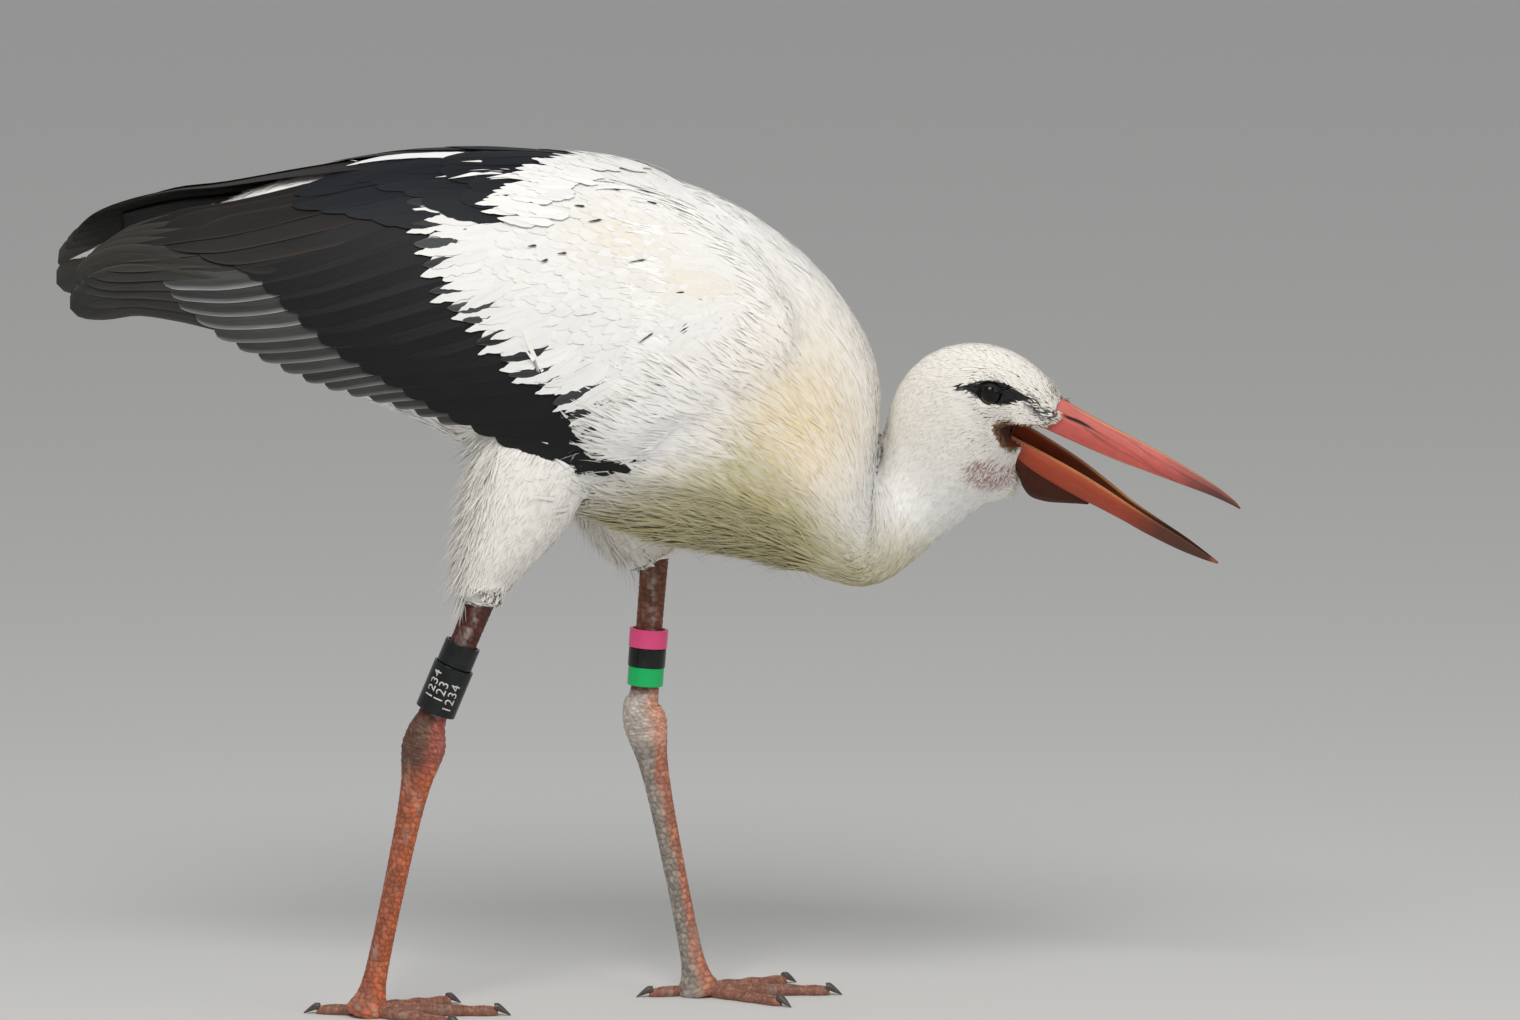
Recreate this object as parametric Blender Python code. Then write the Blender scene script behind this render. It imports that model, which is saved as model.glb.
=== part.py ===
"""White stork walking with its head low and its bill open, life size, as closed solids.

Metres, +Z up. The bird faces +X and its left side is +Y. The floor is Z = 0, and the origin
is on the floor under the middle of the whole bird. Tables below are in millimetres.
"""

import math

import bmesh
import bpy
import numpy as np
from mathutils import Matrix, Vector

MM = 0.001
GAP = 0.3  # mm, clearance between neighbouring solids

# The head turns about its own centre: nose-down pitch, then a tilt towards the right side.
HEAD_AT = (246.0, 0.0, 450.7)
HEAD_PITCH = math.radians(28.0)
HEAD_ROLL = math.radians(28.0)

# Trunk and neck as one tube. Each row: back point (x, z), belly point (x, z), half width.
TRUNK = (
    (-320, 592, -312, 568, 12),
    (-285, 611, -272, 508, 36),
    (-235, 624, -228, 464, 60),
    (-179, 633, -172, 444, 78),
    (-105, 635, -105, 405, 89),
    (-31, 631, -38, 369, 92),
    (43, 611, 18, 350, 91),
    (80, 593, 48, 345, 89),
    (117, 565, 78, 340, 84),
    (146, 533, 104, 332, 77),
    (165, 503, 122, 326, 69),
)
NECK = (
    (165, 503, 122, 326, 69),
    (174, 477, 134, 321, 61),
    (176, 454, 143, 318, 54),
    (173.5, 425, 152, 315.5, 47),
    (171, 402, 162, 315, 42),
    (170.5, 389, 174, 316, 38.5),
    (174, 394, 188, 321, 37),
    (177.5, 405, 203, 330.5, 37),
    (180, 420, 219, 343, 37.5),
    (183, 436, 238, 357, 37.5),
    (187, 454, 256, 370, 37),
)
HEAD = (
    (187, 454, 256, 370, 37),
    (192.5, 470, 264.5, 373.4, 36),
    (203, 484.5, 271, 377.3, 34.5),
    (217, 494.5, 275, 382, 33),
    (236, 500, 277, 389.5, 31.5),
    (255, 499.5, 278, 399, 30),
    (272, 494, 279, 408, 28),
    (287, 485, 282.5, 417, 24.5),
    (299, 473, 290, 424.5, 20),
    (307.5, 462.5, 299, 430, 15.5),
    (312, 456, 306, 434, 12.5),
)
BREAST_EGG = 0.10  # how much wider a section is below its middle
ROLL_FROM = 0.35  # share of the neck's length where the head's tilt begins
LEAST_HEIGHT = 0.3  # of a section's height that its tilt leaves

# Right wing, folded, by x: widest half width, its height, top height, lower edge height,
# and the angles from straight up where the wing's upper and lower edges lie.
WING = (
    (115, 84, 480, 566, 500, 61, 69),
    (105, 86.5, 480, 575, 494, 46, 80),
    (87, 90, 480, 590, 474, 36, 93),
    (57, 94.5, 480, 607, 455, 27, 106),
    (0, 98.5, 482, 629, 425, 17, 120),
    (-60, 99, 486, 638, 421, 12, 126),
    (-120, 96, 494, 641, 440, 10, 126),
    (-180, 89, 506, 638, 459, 9.5, 125),
    (-240, 78, 520, 625, 473, 11, 124),
    (-300, 64, 535, 609, 496, 14, 122),
    (-335, 55, 545, 602, 515, 17, 120),
    (-372, 44, 550, 590, 527, 20, 116),
    (-400, 36, 549, 579, 523, 24, 115),
    (-425, 30, 545, 567, 517, 28, 113),
)
WING_WALL = (9.0, 3.0)  # shell thickness at the shoulder and at the tips
WING_EDGE = 0.45  # edge thickness as a share of the wall
WING_CLEARANCE = 1.0  # mm between a wing's lining and the body
WING_CUTTER_SPARE = 0.012  # how far the cutter reaches past the wing's edges, as a share of its width
WING_POINTS = 9  # points across a wing
# Ends of the space a wing takes, past its own ends, and how far outwards that reaches.
WING_SPACE = ((116, 116), (-405, -426))
WING_SPACE_REACH = 60.0
# Part lines across the wing: x where each starts at the upper edge and ends at the lower one.
WING_CUTS = {
    "arm": ((115, 115), (-176, -36)),
    "secondaries": ((-176, -36), (-330, -205)),
    "primaries": ((-330, -205), (-404, -425)),
}
# The left wing is held a little higher and further back at its tip.
LEFT_TIP_SHIFT = (-13.0, 12.0)
TIP_SHIFT_FROM = -150.0
WING_REAR = -425.0

# Tail: x, z of its middle line, half width, half thickness.
TAIL = (
    (-262, 591, 20, 7.0),
    (-300, 588, 24, 6.0),
    (-350, 578, 26, 4.0),
    (-400, 565, 25, 2.5),
    (-422, 558, 19, 1.2),
)

# Upper bill in the head's own frame: ridge (along, up), cutting edge (along, up), half width.
BILL_UPPER = (
    (50, 39.0, 34, 17.5, 12.6),
    (60, 39.4, 48, 18.4, 12.6),
    (83, 38.6, 74, 19.6, 11.6),
    (112, 39.0, 106, 21.2, 9.8),
    (139, 39.0, 135, 24.4, 8.0),
    (165, 37.6, 162, 27.2, 6.0),
    (186, 35.6, 184, 29.2, 4.0),
    (201, 32.4, 200, 29.2, 2.2),
    (208.5, 29.2, 208, 28.2, 0.7),
)
# Lower bill, a trough: along, edge height, keel height, half width, trough depth share.
BILL_LOWER = (
    (34, -2.6, -27.0, 12.8, 0.70),
    (57, -3.2, -31.0, 11.8, 0.72),
    (88, -5.2, -31.0, 9.8, 0.70),
    (112, -8.6, -29.6, 7.4, 0.62),
    (137, -13.0, -29.6, 4.8, 0.50),
    (158, -15.6, -30.4, 3.8, 0.40),
    (184, -18.2, -29.6, 2.8, 0.30),
    (204, -21.4, -27.2, 1.8, 0.25),
    (215.5, -23.6, -24.8, 0.8, 0.20),
)
BILL_WALL = 2.6  # sideways thickness of a lower bill edge at its root
BILL_WALL_SHARE = 0.4  # the most of the half width that the wall takes
BILL_CLEAR = 3.0  # how far above its edges the lower bill's socket reaches
# Bare throat skin under the lower bill: along, top, bottom, half width.
POUCH = (
    (41, -10, -24, 10.6),
    (53, -13, -35, 10.4),
    (62, -16, -44.5, 10.0),
    (71, -17.5, -48.5, 9.4),
    (83, -19.5, -45.5, 7.6),
    (97, -22, -38.5, 5.0),
    (110, -26, -31.5, 2.0),
)
# Open mouth as a wedge in the head's frame: along, up.
MOUTH = ((21, 13.0), (40, 17.6), (95, 19), (95, -5.4), (50, -2.6), (34, 0.0))
MOUTH_REACH = 60.0  # how far sideways the wedge reaches, past the head's width
EYE_AT = (3.6, 18.5, 29.3)  # along, sideways, up in the head's frame
EYE_RADIUS = 9.5

# Legs, for the right then the left: each row x, y, z, half depth along x, half width along y.
THIGHS = {
    "right": (
        (-70, -52, 436, 48, 30),
        (-90, -51, 386, 41, 29),
        (-108, -50, 350, 29.5, 25),
        (-117, -49, 329, 22, 20),
        (-120.5, -48, 309, 14.5, 13.5),
    ),
    "left": (
        (-20, 52, 420, 47, 30),
        (-13, 51, 380, 42, 28),
        (-6, 50, 354, 31, 24),
        (3, 49, 338, 22, 19),
        (8.5, 48, 324, 14.5, 13.5),
    ),
}
SHANKS = {
    "right": ((-115, -48.3, 320, 10.5, 9.5), (-137, -46.8, 267, 9.8, 8.6), (-157.4, -45.4, 218, 10.5, 9)),
    "left": ((9.2, 48.3, 338, 10.5, 9.5), (4.5, 47, 278, 9.8, 8.6), (0.3, 45.9, 221, 10.5, 9)),
}
# Ankle and foot joint positions: x, y, z of the ankle's middle, then of the foot on the floor.
ANKLES = {"right": (-160.5, -45, 206), "left": (0.5, 45.5, 210)}
FEET = {"right": (-204, -43), "left": (42, 43)}
# The tarsus from ankle top to foot: share of the way down, half depth, half width.
TARSUS = (
    (-0.085, 11.0, 9.4),
    (-0.04, 15.0, 11.6),
    (0.02, 16.4, 12.2),
    (0.08, 14.4, 10.8),
    (0.16, 11.2, 8.4),
    (0.32, 9.0, 6.9),
    (0.62, 8.0, 6.2),
    (0.84, 8.6, 6.8),
    (0.92, 11.0, 9.6),
    (0.955, 15.0, 14.0),
    (0.98, 17.6, 17.2),
    (1.0, 17.6, 17.4),
)
# Toes: angle out from straight ahead, length without the claw, half width at root and end.
TOES = {
    "inner": (-38, 62, 5.6, 3.9),
    "middle": (0, 82, 6.0, 4.1),
    "outer": (37, 66, 5.6, 3.9),
    "hind": (192, 24, 5.0, 3.6),
}
TOE_ROOT = 15.0  # distance of a toe's root from the middle of the foot
CLAW_LENGTH = 9.0
TOE_TALL = 0.95  # a toe's and a claw's height over its width
TOE_LIFT = 0.72  # how high a toe's middle lies, in half widths
KNUCKLES = {"inner": 3, "middle": 4, "outer": 3, "hind": 1}
KNUCKLE_SWELL = 0.09
CLAW_WIDE = 0.80  # a claw's root over its toe's end
CLAW_TAPER, CLAW_BEND = 0.86, 1.4  # how much of that its tip loses, and how late
CLAW_LIFT = (0.9, 0.8)  # of the toe's end at the root, of the claw's own half width all along

# Leg bands: height of the lower end along the shank from its foot end, height, outer radius.
BANDS = {
    "right": (("sleeve_black", 11.6, 37.0, 15.6), ("collar_black", 48.9, 17.4, 13.4)),
    "left": (("green", 13.0, 14.0, 13.4), ("black", 27.3, 14.0, 13.9), ("pink", 41.6, 14.0, 14.4)),
}
BAND_WALL = 2.2

# Sections along each solid, and points round a section.
BODY_DETAIL = {"trunk": 17, "neck_lower": 7, "neck_upper": 8, "head": 13}
BODY_POINTS = 20
BILL_SECTIONS = 11
BILL_UPPER_POINTS = 11
BILL_LOWER_POINTS = 9
POUCH_SECTIONS, POUCH_POINTS = 8, 12
EYE_SECTIONS, EYE_POINTS = 9, 12
WING_DETAIL = {"arm": 11, "secondaries": 7, "primaries": 7, "space": 22}
WING_SMOOTH = 160
TAIL_SECTIONS, TAIL_POINTS = 6, 12
THIGH_SECTIONS, THIGH_POINTS = 8, 14
SHANK_SECTIONS, TARSUS_SECTIONS, LEG_POINTS = 5, 14, 10
TOE_SECTIONS = {"inner": 7, "middle": 9, "outer": 7, "hind": 4}
TOE_POINTS, CLAW_SECTIONS, CLAW_POINTS = 10, 4, 6
BAND_POINTS = 16
SHARP = math.radians(40)  # edges bent more than this look sharp

# Name: base colour, roughness.
FINISHES = {
    "white_plumage": ((0.84, 0.82, 0.77), 0.85),
    "black_plumage": ((0.02, 0.02, 0.022), 0.6),
    "bill_red": ((0.62, 0.12, 0.08), 0.45),
    "throat_skin": ((0.16, 0.03, 0.025), 0.55),
    "eye": ((0.02, 0.015, 0.012), 0.08),
    "leg_skin": ((0.42, 0.10, 0.07), 0.6),
    "claw": ((0.08, 0.06, 0.055), 0.45),
    "band_black": ((0.015, 0.015, 0.018), 0.35),
    "band_pink": ((0.80, 0.16, 0.36), 0.4),
    "band_green": ((0.04, 0.42, 0.16), 0.4),
}


# ---------------------------------------------------------------- helpers


def finish(name):
    """The material of that name, made on first use."""
    material = bpy.data.materials.get(name)
    if material is None:
        colour, roughness = FINISHES[name]
        material = bpy.data.materials.new(name)
        material.use_nodes = True
        shader = material.node_tree.nodes["Principled BSDF"]
        shader.inputs["Base Color"].default_value = (*colour, 1)
        shader.inputs["Roughness"].default_value = roughness
        shader.inputs["Metallic"].default_value = 0.0
    return material


def smooth_rows(rows, count):
    """The rows as a Catmull-Rom curve, read at count even steps from the first row to the last."""
    keys = np.array(rows, float)
    padded = np.vstack([2 * keys[0] - keys[1], keys, 2 * keys[-1] - keys[-2]])
    at = np.linspace(0, len(keys) - 1, count)
    first = np.minimum(at.astype(int), len(keys) - 2)
    t = (at - first)[:, None]
    p0, p1, p2, p3 = (padded[first + shift] for shift in range(4))
    return 0.5 * (
        2 * p1 + (p2 - p0) * t + (2 * p0 - 5 * p1 + 4 * p2 - p3) * t**2 + (3 * p1 - p0 - 3 * p2 + p3) * t**3
    )


def oval(centre, up, side, points, egg=0.0):
    """A closed ring round centre. up and side are its half axes; egg widens its lower half."""
    angle = np.linspace(0, 2 * math.pi, points, endpoint=False)[:, None]
    reach = np.sin(angle) * (1 - egg * np.cos(angle))
    return np.array(centre) + np.cos(angle) * np.array(up) + reach * np.array(side)


def solid(name, rings, material, cutter=False, paired=False):
    """A closed solid bridged through rings of equal point counts, given in millimetres.

    Its ends are one flat face each, or strips joining each point to its opposite one if paired.
    """
    shape = bmesh.new()
    loops = [[shape.verts.new(Vector(point) * MM) for point in ring] for ring in rings]
    for near, far in zip(loops, loops[1:]):
        for k in range(len(near)):
            shape.faces.new((near[k - 1], near[k], far[k], far[k - 1]))
    for loop in (loops[0], loops[-1]):
        if paired:
            for k in range(len(loop) // 2 - 1):
                shape.faces.new((loop[k], loop[k + 1], loop[-2 - k], loop[-1 - k]))
        else:
            shape.faces.new(loop)
    bmesh.ops.recalc_face_normals(shape, faces=shape.faces)
    mesh = bpy.data.meshes.new(name)
    shape.to_mesh(mesh)
    shape.free()
    mesh.shade_smooth()
    mesh.set_sharp_from_angle(angle=SHARP)
    part = bpy.data.objects.new(name, mesh)
    bpy.context.scene.collection.objects.link(part)
    part.parent = bpy.data.objects["stork"]
    if cutter:
        part.hide_render = True
        part.display_type = "WIRE"
    else:
        mesh.materials.append(finish(material))
    return part


def cut(part, *cutters, solver="EXACT"):
    """Takes each cutter's volume out of part with Booleans."""
    for cutter in cutters:
        modifier = part.modifiers.new("cut_" + cutter.name, "BOOLEAN")
        modifier.operation = "DIFFERENCE"
        modifier.solver = solver
        modifier.object = cutter


def head_matrix(roll):
    """From the head's own frame (along, left, up) to the bird's, in millimetres."""
    return (
        Matrix.Translation(HEAD_AT)
        @ Matrix.Rotation(HEAD_PITCH, 4, "Y")
        @ Matrix.Rotation(roll, 4, "X")
    )


def moved(points, matrix):
    """An array of points through a 4 x 4 matrix."""
    m = np.array(matrix)
    return np.asarray(points) @ m[:3, :3].T + m[:3, 3]


def in_head(points):
    """Points of the head's own frame placed in the bird's."""
    return moved(points, head_matrix(HEAD_ROLL))


# ---------------------------------------------------------------- body


def profile_rings(rows, count, points, grow=0.0, roll=(0.0, 0.0)):
    """Oval rings spanned between back and belly points, tilted with the head by a share of its roll.

    A tilted ring keeps its side outline: its centre moves sideways along the tilt and its height
    makes up for what its width covers.
    """
    rings = []
    for k, (bx, bz, vx, vz, width) in enumerate(smooth_rows(rows, count)):
        share = roll[0] + (roll[1] - roll[0]) * k / (count - 1)
        share = min(max((share - ROLL_FROM) / (1 - ROLL_FROM), 0), 1)
        turn = HEAD_ROLL * share * share * (3 - 2 * share)
        flat, tilted = head_matrix(0), head_matrix(turn)
        back, belly = (np.array(flat.inverted() @ Vector(point)) for point in ((bx, 0, bz), (vx, 0, vz)))
        centre, up = (back + belly) / 2, (back - belly) / 2
        tall = np.linalg.norm(up) + grow
        up *= tall / np.linalg.norm(up)
        covered = (width * math.sin(turn)) ** 2
        kept = math.sqrt(max(up[2] ** 2 - covered, (LEAST_HEIGHT * up[2]) ** 2))
        up[2] = math.copysign(kept / math.cos(turn), up[2])
        centre[2] /= math.cos(turn)
        rings.append(moved(oval(centre, up, (0, width + grow, 0), points, BREAST_EGG), tilted))
    return rings


def pulled_back(rings, gap):
    """The rings with the last one moved a gap towards the one before, to leave a thin part line."""
    last = rings[-1].copy()
    step = last.mean(axis=0) - rings[-2].mean(axis=0)
    rings[-1] = last - step / np.linalg.norm(step) * gap
    return rings


def body():
    """Trunk and neck, parted by thin cuts. Returns the trunk and its copy grown by the gap."""
    count, points = BODY_DETAIL["trunk"], BODY_POINTS
    trunk = solid("trunk", pulled_back(profile_rings(TRUNK, count, points), GAP), "white_plumage")
    grown = solid("trunk_grown", profile_rings(TRUNK, count, points, grow=GAP), None, cutter=True)
    half = (len(NECK) + 1) // 2
    lower = profile_rings(NECK[:half], BODY_DETAIL["neck_lower"], points, roll=(0.0, 0.5))
    upper = profile_rings(NECK[half - 1 :], BODY_DETAIL["neck_upper"], points, roll=(0.5, 1.0))
    solid("neck_lower", pulled_back(lower, GAP), "white_plumage")
    solid("neck_upper", pulled_back(upper, GAP), "white_plumage")
    return trunk, grown


def head():
    """Head with its open mouth and the sockets for the bill and eyes."""
    rings = profile_rings(HEAD, BODY_DETAIL["head"], BODY_POINTS, roll=(1.0, 1.0))
    skull = solid("head", rings, "white_plumage")
    mouth = [in_head([(along, side, up) for along, up in MOUTH]) for side in (-MOUTH_REACH, MOUTH_REACH)]
    lower = bill_lower()
    for name, side in (("right", -1), ("left", 1)):
        cut(skull, eye(name, side), solver="MANIFOLD")
    mouth_space = solid("mouth_space", mouth, None, cutter=True)
    cut(skull, pouch(), bill_upper(), lower, mouth_space, solver="MANIFOLD")


def lengthened(rings, grow):
    """The rings with both end ones moved outwards along the solid's line."""
    for end, inner in ((0, 1), (-1, -2)):
        line = rings[end].mean(axis=0) - rings[inner].mean(axis=0)
        rings[end] = rings[end] + line / np.linalg.norm(line) * grow * 2
    return rings


def bill_upper():
    """Upper bill, a rounded ridge over a flat underside between the cutting edges."""
    sweep = np.linspace(-math.pi / 2, math.pi / 2, BILL_UPPER_POINTS)

    def rings(grow):
        made = []
        for ridge, ridge_up, edge, edge_up, width in smooth_rows(BILL_UPPER, BILL_SECTIONS):
            base = np.array((edge, 0, edge_up - grow))
            rise = np.array((ridge - edge, 0, ridge_up - edge_up + 2 * grow))
            aside = np.array((0, width + grow, 0))
            made.append(in_head([base + rise * math.cos(a) + aside * math.sin(a) for a in sweep]))
        return lengthened(made, grow)

    solid("bill_upper", rings(0.0), "bill_red")
    return solid("bill_upper_grown", rings(GAP), None, cutter=True)


def bill_lower():
    """Lower bill, a trough whose two edges join in a keel towards the tip."""
    sweep = np.linspace(-math.pi / 2, math.pi / 2, BILL_LOWER_POINTS)
    rows = smooth_rows(BILL_LOWER, BILL_SECTIONS)
    troughs, filled = [], []
    for along, edge, keel, width, depth in rows:
        wall = min(BILL_WALL, width * BILL_WALL_SHARE)
        outer = [(along, width * math.sin(a), edge - (edge - keel) * math.cos(a)) for a in sweep]
        floor = (edge - keel) * depth
        inner = [(along, (width - wall) * math.sin(a), edge - floor * math.cos(a)) for a in sweep[::-1]]
        troughs.append(in_head(outer + inner))
        grown = width + GAP
        bottom = keel - GAP
        bowl = [(along, grown * math.sin(a), edge - (edge - bottom) * math.cos(a)) for a in sweep]
        filled.append(in_head([*bowl, (along, grown, edge + BILL_CLEAR), (along, -grown, edge + BILL_CLEAR)]))
    solid("bill_lower", troughs, "bill_red", paired=True)
    return solid("bill_lower_grown", lengthened(filled, GAP), None, cutter=True)


def pouch():
    """Bare skin of the throat that hangs below the lower bill. Returns its grown copy as a cutter."""

    def rings(grow):
        made = []
        for along, top, bottom, width in smooth_rows(POUCH, POUCH_SECTIONS):
            middle, half = (top + bottom) / 2, (top - bottom) / 2 + grow
            made.append(in_head(oval((along, 0, middle), (0, 0, half), (0, width + grow, 0), POUCH_POINTS)))
        return lengthened(made, grow)

    skin = solid("throat_pouch", rings(0.0), "throat_skin")
    cut(skin, bpy.data.objects["bill_lower_grown"], solver="MANIFOLD")
    return solid("throat_pouch_grown", rings(2 * GAP), None, cutter=True)


def ball(radius, count):
    """Rings of a sphere about the origin, along the sideways axis, from pole to pole."""
    rings = []
    for a in np.linspace(-math.pi / 2, math.pi / 2, count)[1:-1]:
        size = radius * math.cos(a)
        rings.append(oval((0, radius * math.sin(a), 0), (0, 0, size), (size, 0, 0), EYE_POINTS))
    return rings


def eye(name, side):
    """An eyeball set in the head. Returns its grown copy as a cutter for the socket."""
    at = np.array((EYE_AT[0], side * EYE_AT[1], EYE_AT[2]))
    solid("eye_" + name, [in_head(ring + at) for ring in ball(EYE_RADIUS, EYE_SECTIONS)], "eye")
    grown = [in_head(ring + at) for ring in ball(EYE_RADIUS + GAP, EYE_SECTIONS)]
    return solid("eye_socket_" + name, grown, None, cutter=True)


# ---------------------------------------------------------------- wings and tail


def wing_values(x):
    """The rows of WING read at x, in a smooth curve. x may be an array."""
    keys = np.array(WING[::-1], float)
    fine = smooth_rows(keys, WING_SMOOTH)
    return [np.interp(x, fine[:, 0], fine[:, k]) for k in range(1, 7)]


def tip_shift(x, side):
    """How far the left wing's tip is moved along x and z, growing towards the rear."""
    if side < 0:
        return 0.0, 0.0
    share = np.clip((TIP_SHIFT_FROM - x) / (TIP_SHIFT_FROM - WING_REAR), 0, 1)
    share = share * share * (3 - 2 * share)
    return LEFT_TIP_SHIFT[0] * share, LEFT_TIP_SHIFT[1] * share


def wing_points(x, across, side, inset):
    """Points of the folded wing at x, across from its upper edge (0) to its lower (1), moved in by inset."""
    width, middle, top, low, first, last = wing_values(x)
    angle = np.radians(first + (last - first) * across)
    drop = np.where(last > 91, (middle - low) / np.maximum(-np.cos(np.radians(last)), 0.02), top - middle)
    height = np.where(angle < math.pi / 2, top - middle, drop) - inset
    dx, dz = tip_shift(x, side)
    y = side * (width - inset) * np.sin(angle)
    return np.stack([x + dx, y, middle + height * np.cos(angle) + dz], axis=-1)


def wing_sections(front, rear, side, count, outer=0.0, gap=0.0):
    """Closed sections of a wing's shell between two slanted part lines, from front to rear.

    With a gap, they are its cutter instead: wider by the gap all round and reaching outer mm outwards.
    """
    spare = WING_CUTTER_SPARE if gap else 0.0
    across = np.linspace(-spare, 1 + spare, WING_POINTS)
    rings = []
    for share in np.linspace(0, 1, count):
        upper = front[0] + (rear[0] - front[0]) * share
        lower = front[1] + (rear[1] - front[1]) * share
        x = np.clip(upper + (lower - upper) * across, WING_REAR - gap, WING[0][0] + gap)
        back = (WING[0][0] - x) / (WING[0][0] - WING_REAR)
        wall = WING_WALL[0] + (WING_WALL[1] - WING_WALL[0]) * back
        swell = np.sin(math.pi * np.clip(across, 0, 1)) ** 0.6
        wall = wall * (WING_EDGE + (1 - WING_EDGE) * swell) + gap
        skin = wing_points(x, across, side, -outer)
        lining = wing_points(x, across, side, wall)
        rings.append(np.vstack([skin, lining[::-1]]))
    return rings


def wing(name, side):
    """A folded wing of three shells. Returns cutters that clear the trunk and thigh of it."""
    for part, (front, rear) in WING_CUTS.items():
        if part != "arm":
            front = (front[0] - GAP, front[1] - GAP)
        rings = wing_sections(front, rear, side, WING_DETAIL[part])
        colour = "white_plumage" if part == "arm" else "black_plumage"
        solid(f"wing_{name}_{part}", rings, colour, paired=True)
    ends, count = WING_SPACE, WING_DETAIL["space"]
    whole = wing_sections(*ends, side, count, outer=WING_SPACE_REACH, gap=WING_CLEARANCE)
    return solid(f"wing_{name}_space", whole, None, cutter=True, paired=True)


def tail():
    """The closed tail, a stack of long feathers lying between the wings."""
    rings = []
    for x, z, width, thick in smooth_rows(TAIL, TAIL_SECTIONS):
        rings.append(oval((x, 0, z), (0, 0, thick), (0, width, 0), TAIL_POINTS))
    return solid("tail", rings, "white_plumage")


# ---------------------------------------------------------------- legs


def leg_rings(rows, count, points, grow=0.0):
    """Ovals square to a leg's line, from rows of x, y, z, half depth, half width."""
    fine = smooth_rows(rows, count)
    lines = np.gradient(fine[:, :3], axis=0)
    rings = []
    for (x, y, z, depth, width), line in zip(fine, lines):
        line = line / np.linalg.norm(line)
        side = np.array((0, 1, 0)) - line * line[1]
        side /= np.linalg.norm(side)
        rings.append(oval((x, y, z), np.cross(line, side) * (depth + grow), side * (width + grow), points))
    rings[0] = rings[0] - lines[0] / np.linalg.norm(lines[0]) * grow
    rings[-1] = rings[-1] + lines[-1] / np.linalg.norm(lines[-1]) * grow
    return rings


def tarsus_rings(name, grow=0.0):
    """The tarsus from its ankle down to a flat sole on the floor."""
    ankle, foot = np.array(ANKLES[name]), np.array((*FEET[name], 0.0))
    rows = [(*(ankle + (foot - ankle) * share), depth, width) for share, depth, width in TARSUS]
    rings = leg_rings(rows, TARSUS_SECTIONS, LEG_POINTS, grow)
    for ring in rings:
        ring[:, 2] = np.maximum(ring[:, 2], -grow)
    rings[-1][:, 2] = -grow
    return rings


def leg(name, side, clear):
    """Thigh, shank, tarsus, toes and bands of one leg."""
    solid("shank_" + name, leg_rings(SHANKS[name], SHANK_SECTIONS, LEG_POINTS), "leg_skin")
    grown = leg_rings(SHANKS[name], SHANK_SECTIONS, LEG_POINTS, GAP)
    socket = solid("shank_socket_" + name, grown, None, cutter=True)
    thigh = solid("thigh_" + name, leg_rings(THIGHS[name], THIGH_SECTIONS, THIGH_POINTS), "white_plumage")
    cut(thigh, socket, *clear)
    cut(solid("tarsus_" + name, tarsus_rings(name), "leg_skin"), socket)
    pad = solid("foot_clearance_" + name, tarsus_rings(name, GAP), None, cutter=True)
    for toe, shape in TOES.items():
        cut(make_toe(name, side, toe, *shape), pad)
    bands(name)


def make_toe(leg_name, side, toe, spread, length, root, end):
    """A toe with a flat sole on the floor and knuckles along it, and its claw."""
    middle = np.array((*FEET[leg_name], 0.0))
    out = math.radians(spread) * side
    ahead = np.array((math.cos(out), math.sin(out), 0))
    sideways = np.array((-ahead[1], ahead[0], 0))

    def ring(distance, half, lift, points=TOE_POINTS):
        centre = middle + ahead * distance + np.array((0, 0, lift))
        made = oval(centre, (0, 0, half * TOE_TALL), sideways * half, points)
        made[:, 2] = np.maximum(made[:, 2], 0.0)
        return made

    rings = []
    for share in np.linspace(0, 1, TOE_SECTIONS[toe]):
        half = root + (end - root) * share
        half *= 1 + KNUCKLE_SWELL * math.cos(2 * math.pi * (share * KNUCKLES[toe] + 0.5))
        rings.append(ring(TOE_ROOT + length * share, half, half * TOE_LIFT))
    made = solid(f"toe_{leg_name}_{toe}", rings, "leg_skin")
    claw = []
    for share in np.linspace(0, 1, CLAW_SECTIONS):
        half = end * CLAW_WIDE * (1 - CLAW_TAPER * share**CLAW_BEND)
        lift = end * CLAW_LIFT[0] * (1 - share) + half * CLAW_LIFT[1]
        claw.append(ring(TOE_ROOT + length + GAP + CLAW_LENGTH * share, half, lift, CLAW_POINTS))
    solid(f"claw_{leg_name}_{toe}", claw, "claw")
    return made


def bands(name):
    """The rings on a shank, each an open tube round it."""
    shank = np.array(SHANKS[name], float)[:, :3]
    foot_end = shank[-1]
    line = shank[1] - foot_end
    line /= np.linalg.norm(line)
    side = np.array((0, 1, 0)) - line * line[1]
    side /= np.linalg.norm(side)
    front = np.cross(side, line)
    for label, start, height, radius in BANDS[name]:
        low, high = foot_end + line * start, foot_end + line * (start + height)
        outline = [(low, radius), (high, radius), (high, radius - BAND_WALL), (low, radius - BAND_WALL)]
        rings = [oval(centre, front * size, side * size, BAND_POINTS) for centre, size in outline]
        tube(f"band_{name}_{label}", rings, "band_" + label.split("_")[-1])


def tube(name, rings, material):
    """A closed ring-shaped solid bridged from each ring to the next and from the last to the first."""
    part = solid(name, rings, material)
    shape = bmesh.new()
    shape.from_mesh(part.data)
    caps = [face for face in shape.faces if len(face.verts) > 4]
    loops = [list(face.edges) for face in caps]
    bmesh.ops.delete(shape, geom=caps, context="FACES_ONLY")
    bmesh.ops.bridge_loops(shape, edges=loops[0] + loops[1])
    bmesh.ops.recalc_face_normals(shape, faces=shape.faces)
    shape.to_mesh(part.data)
    shape.free()
    part.data.set_sharp_from_angle(angle=SHARP)


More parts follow.
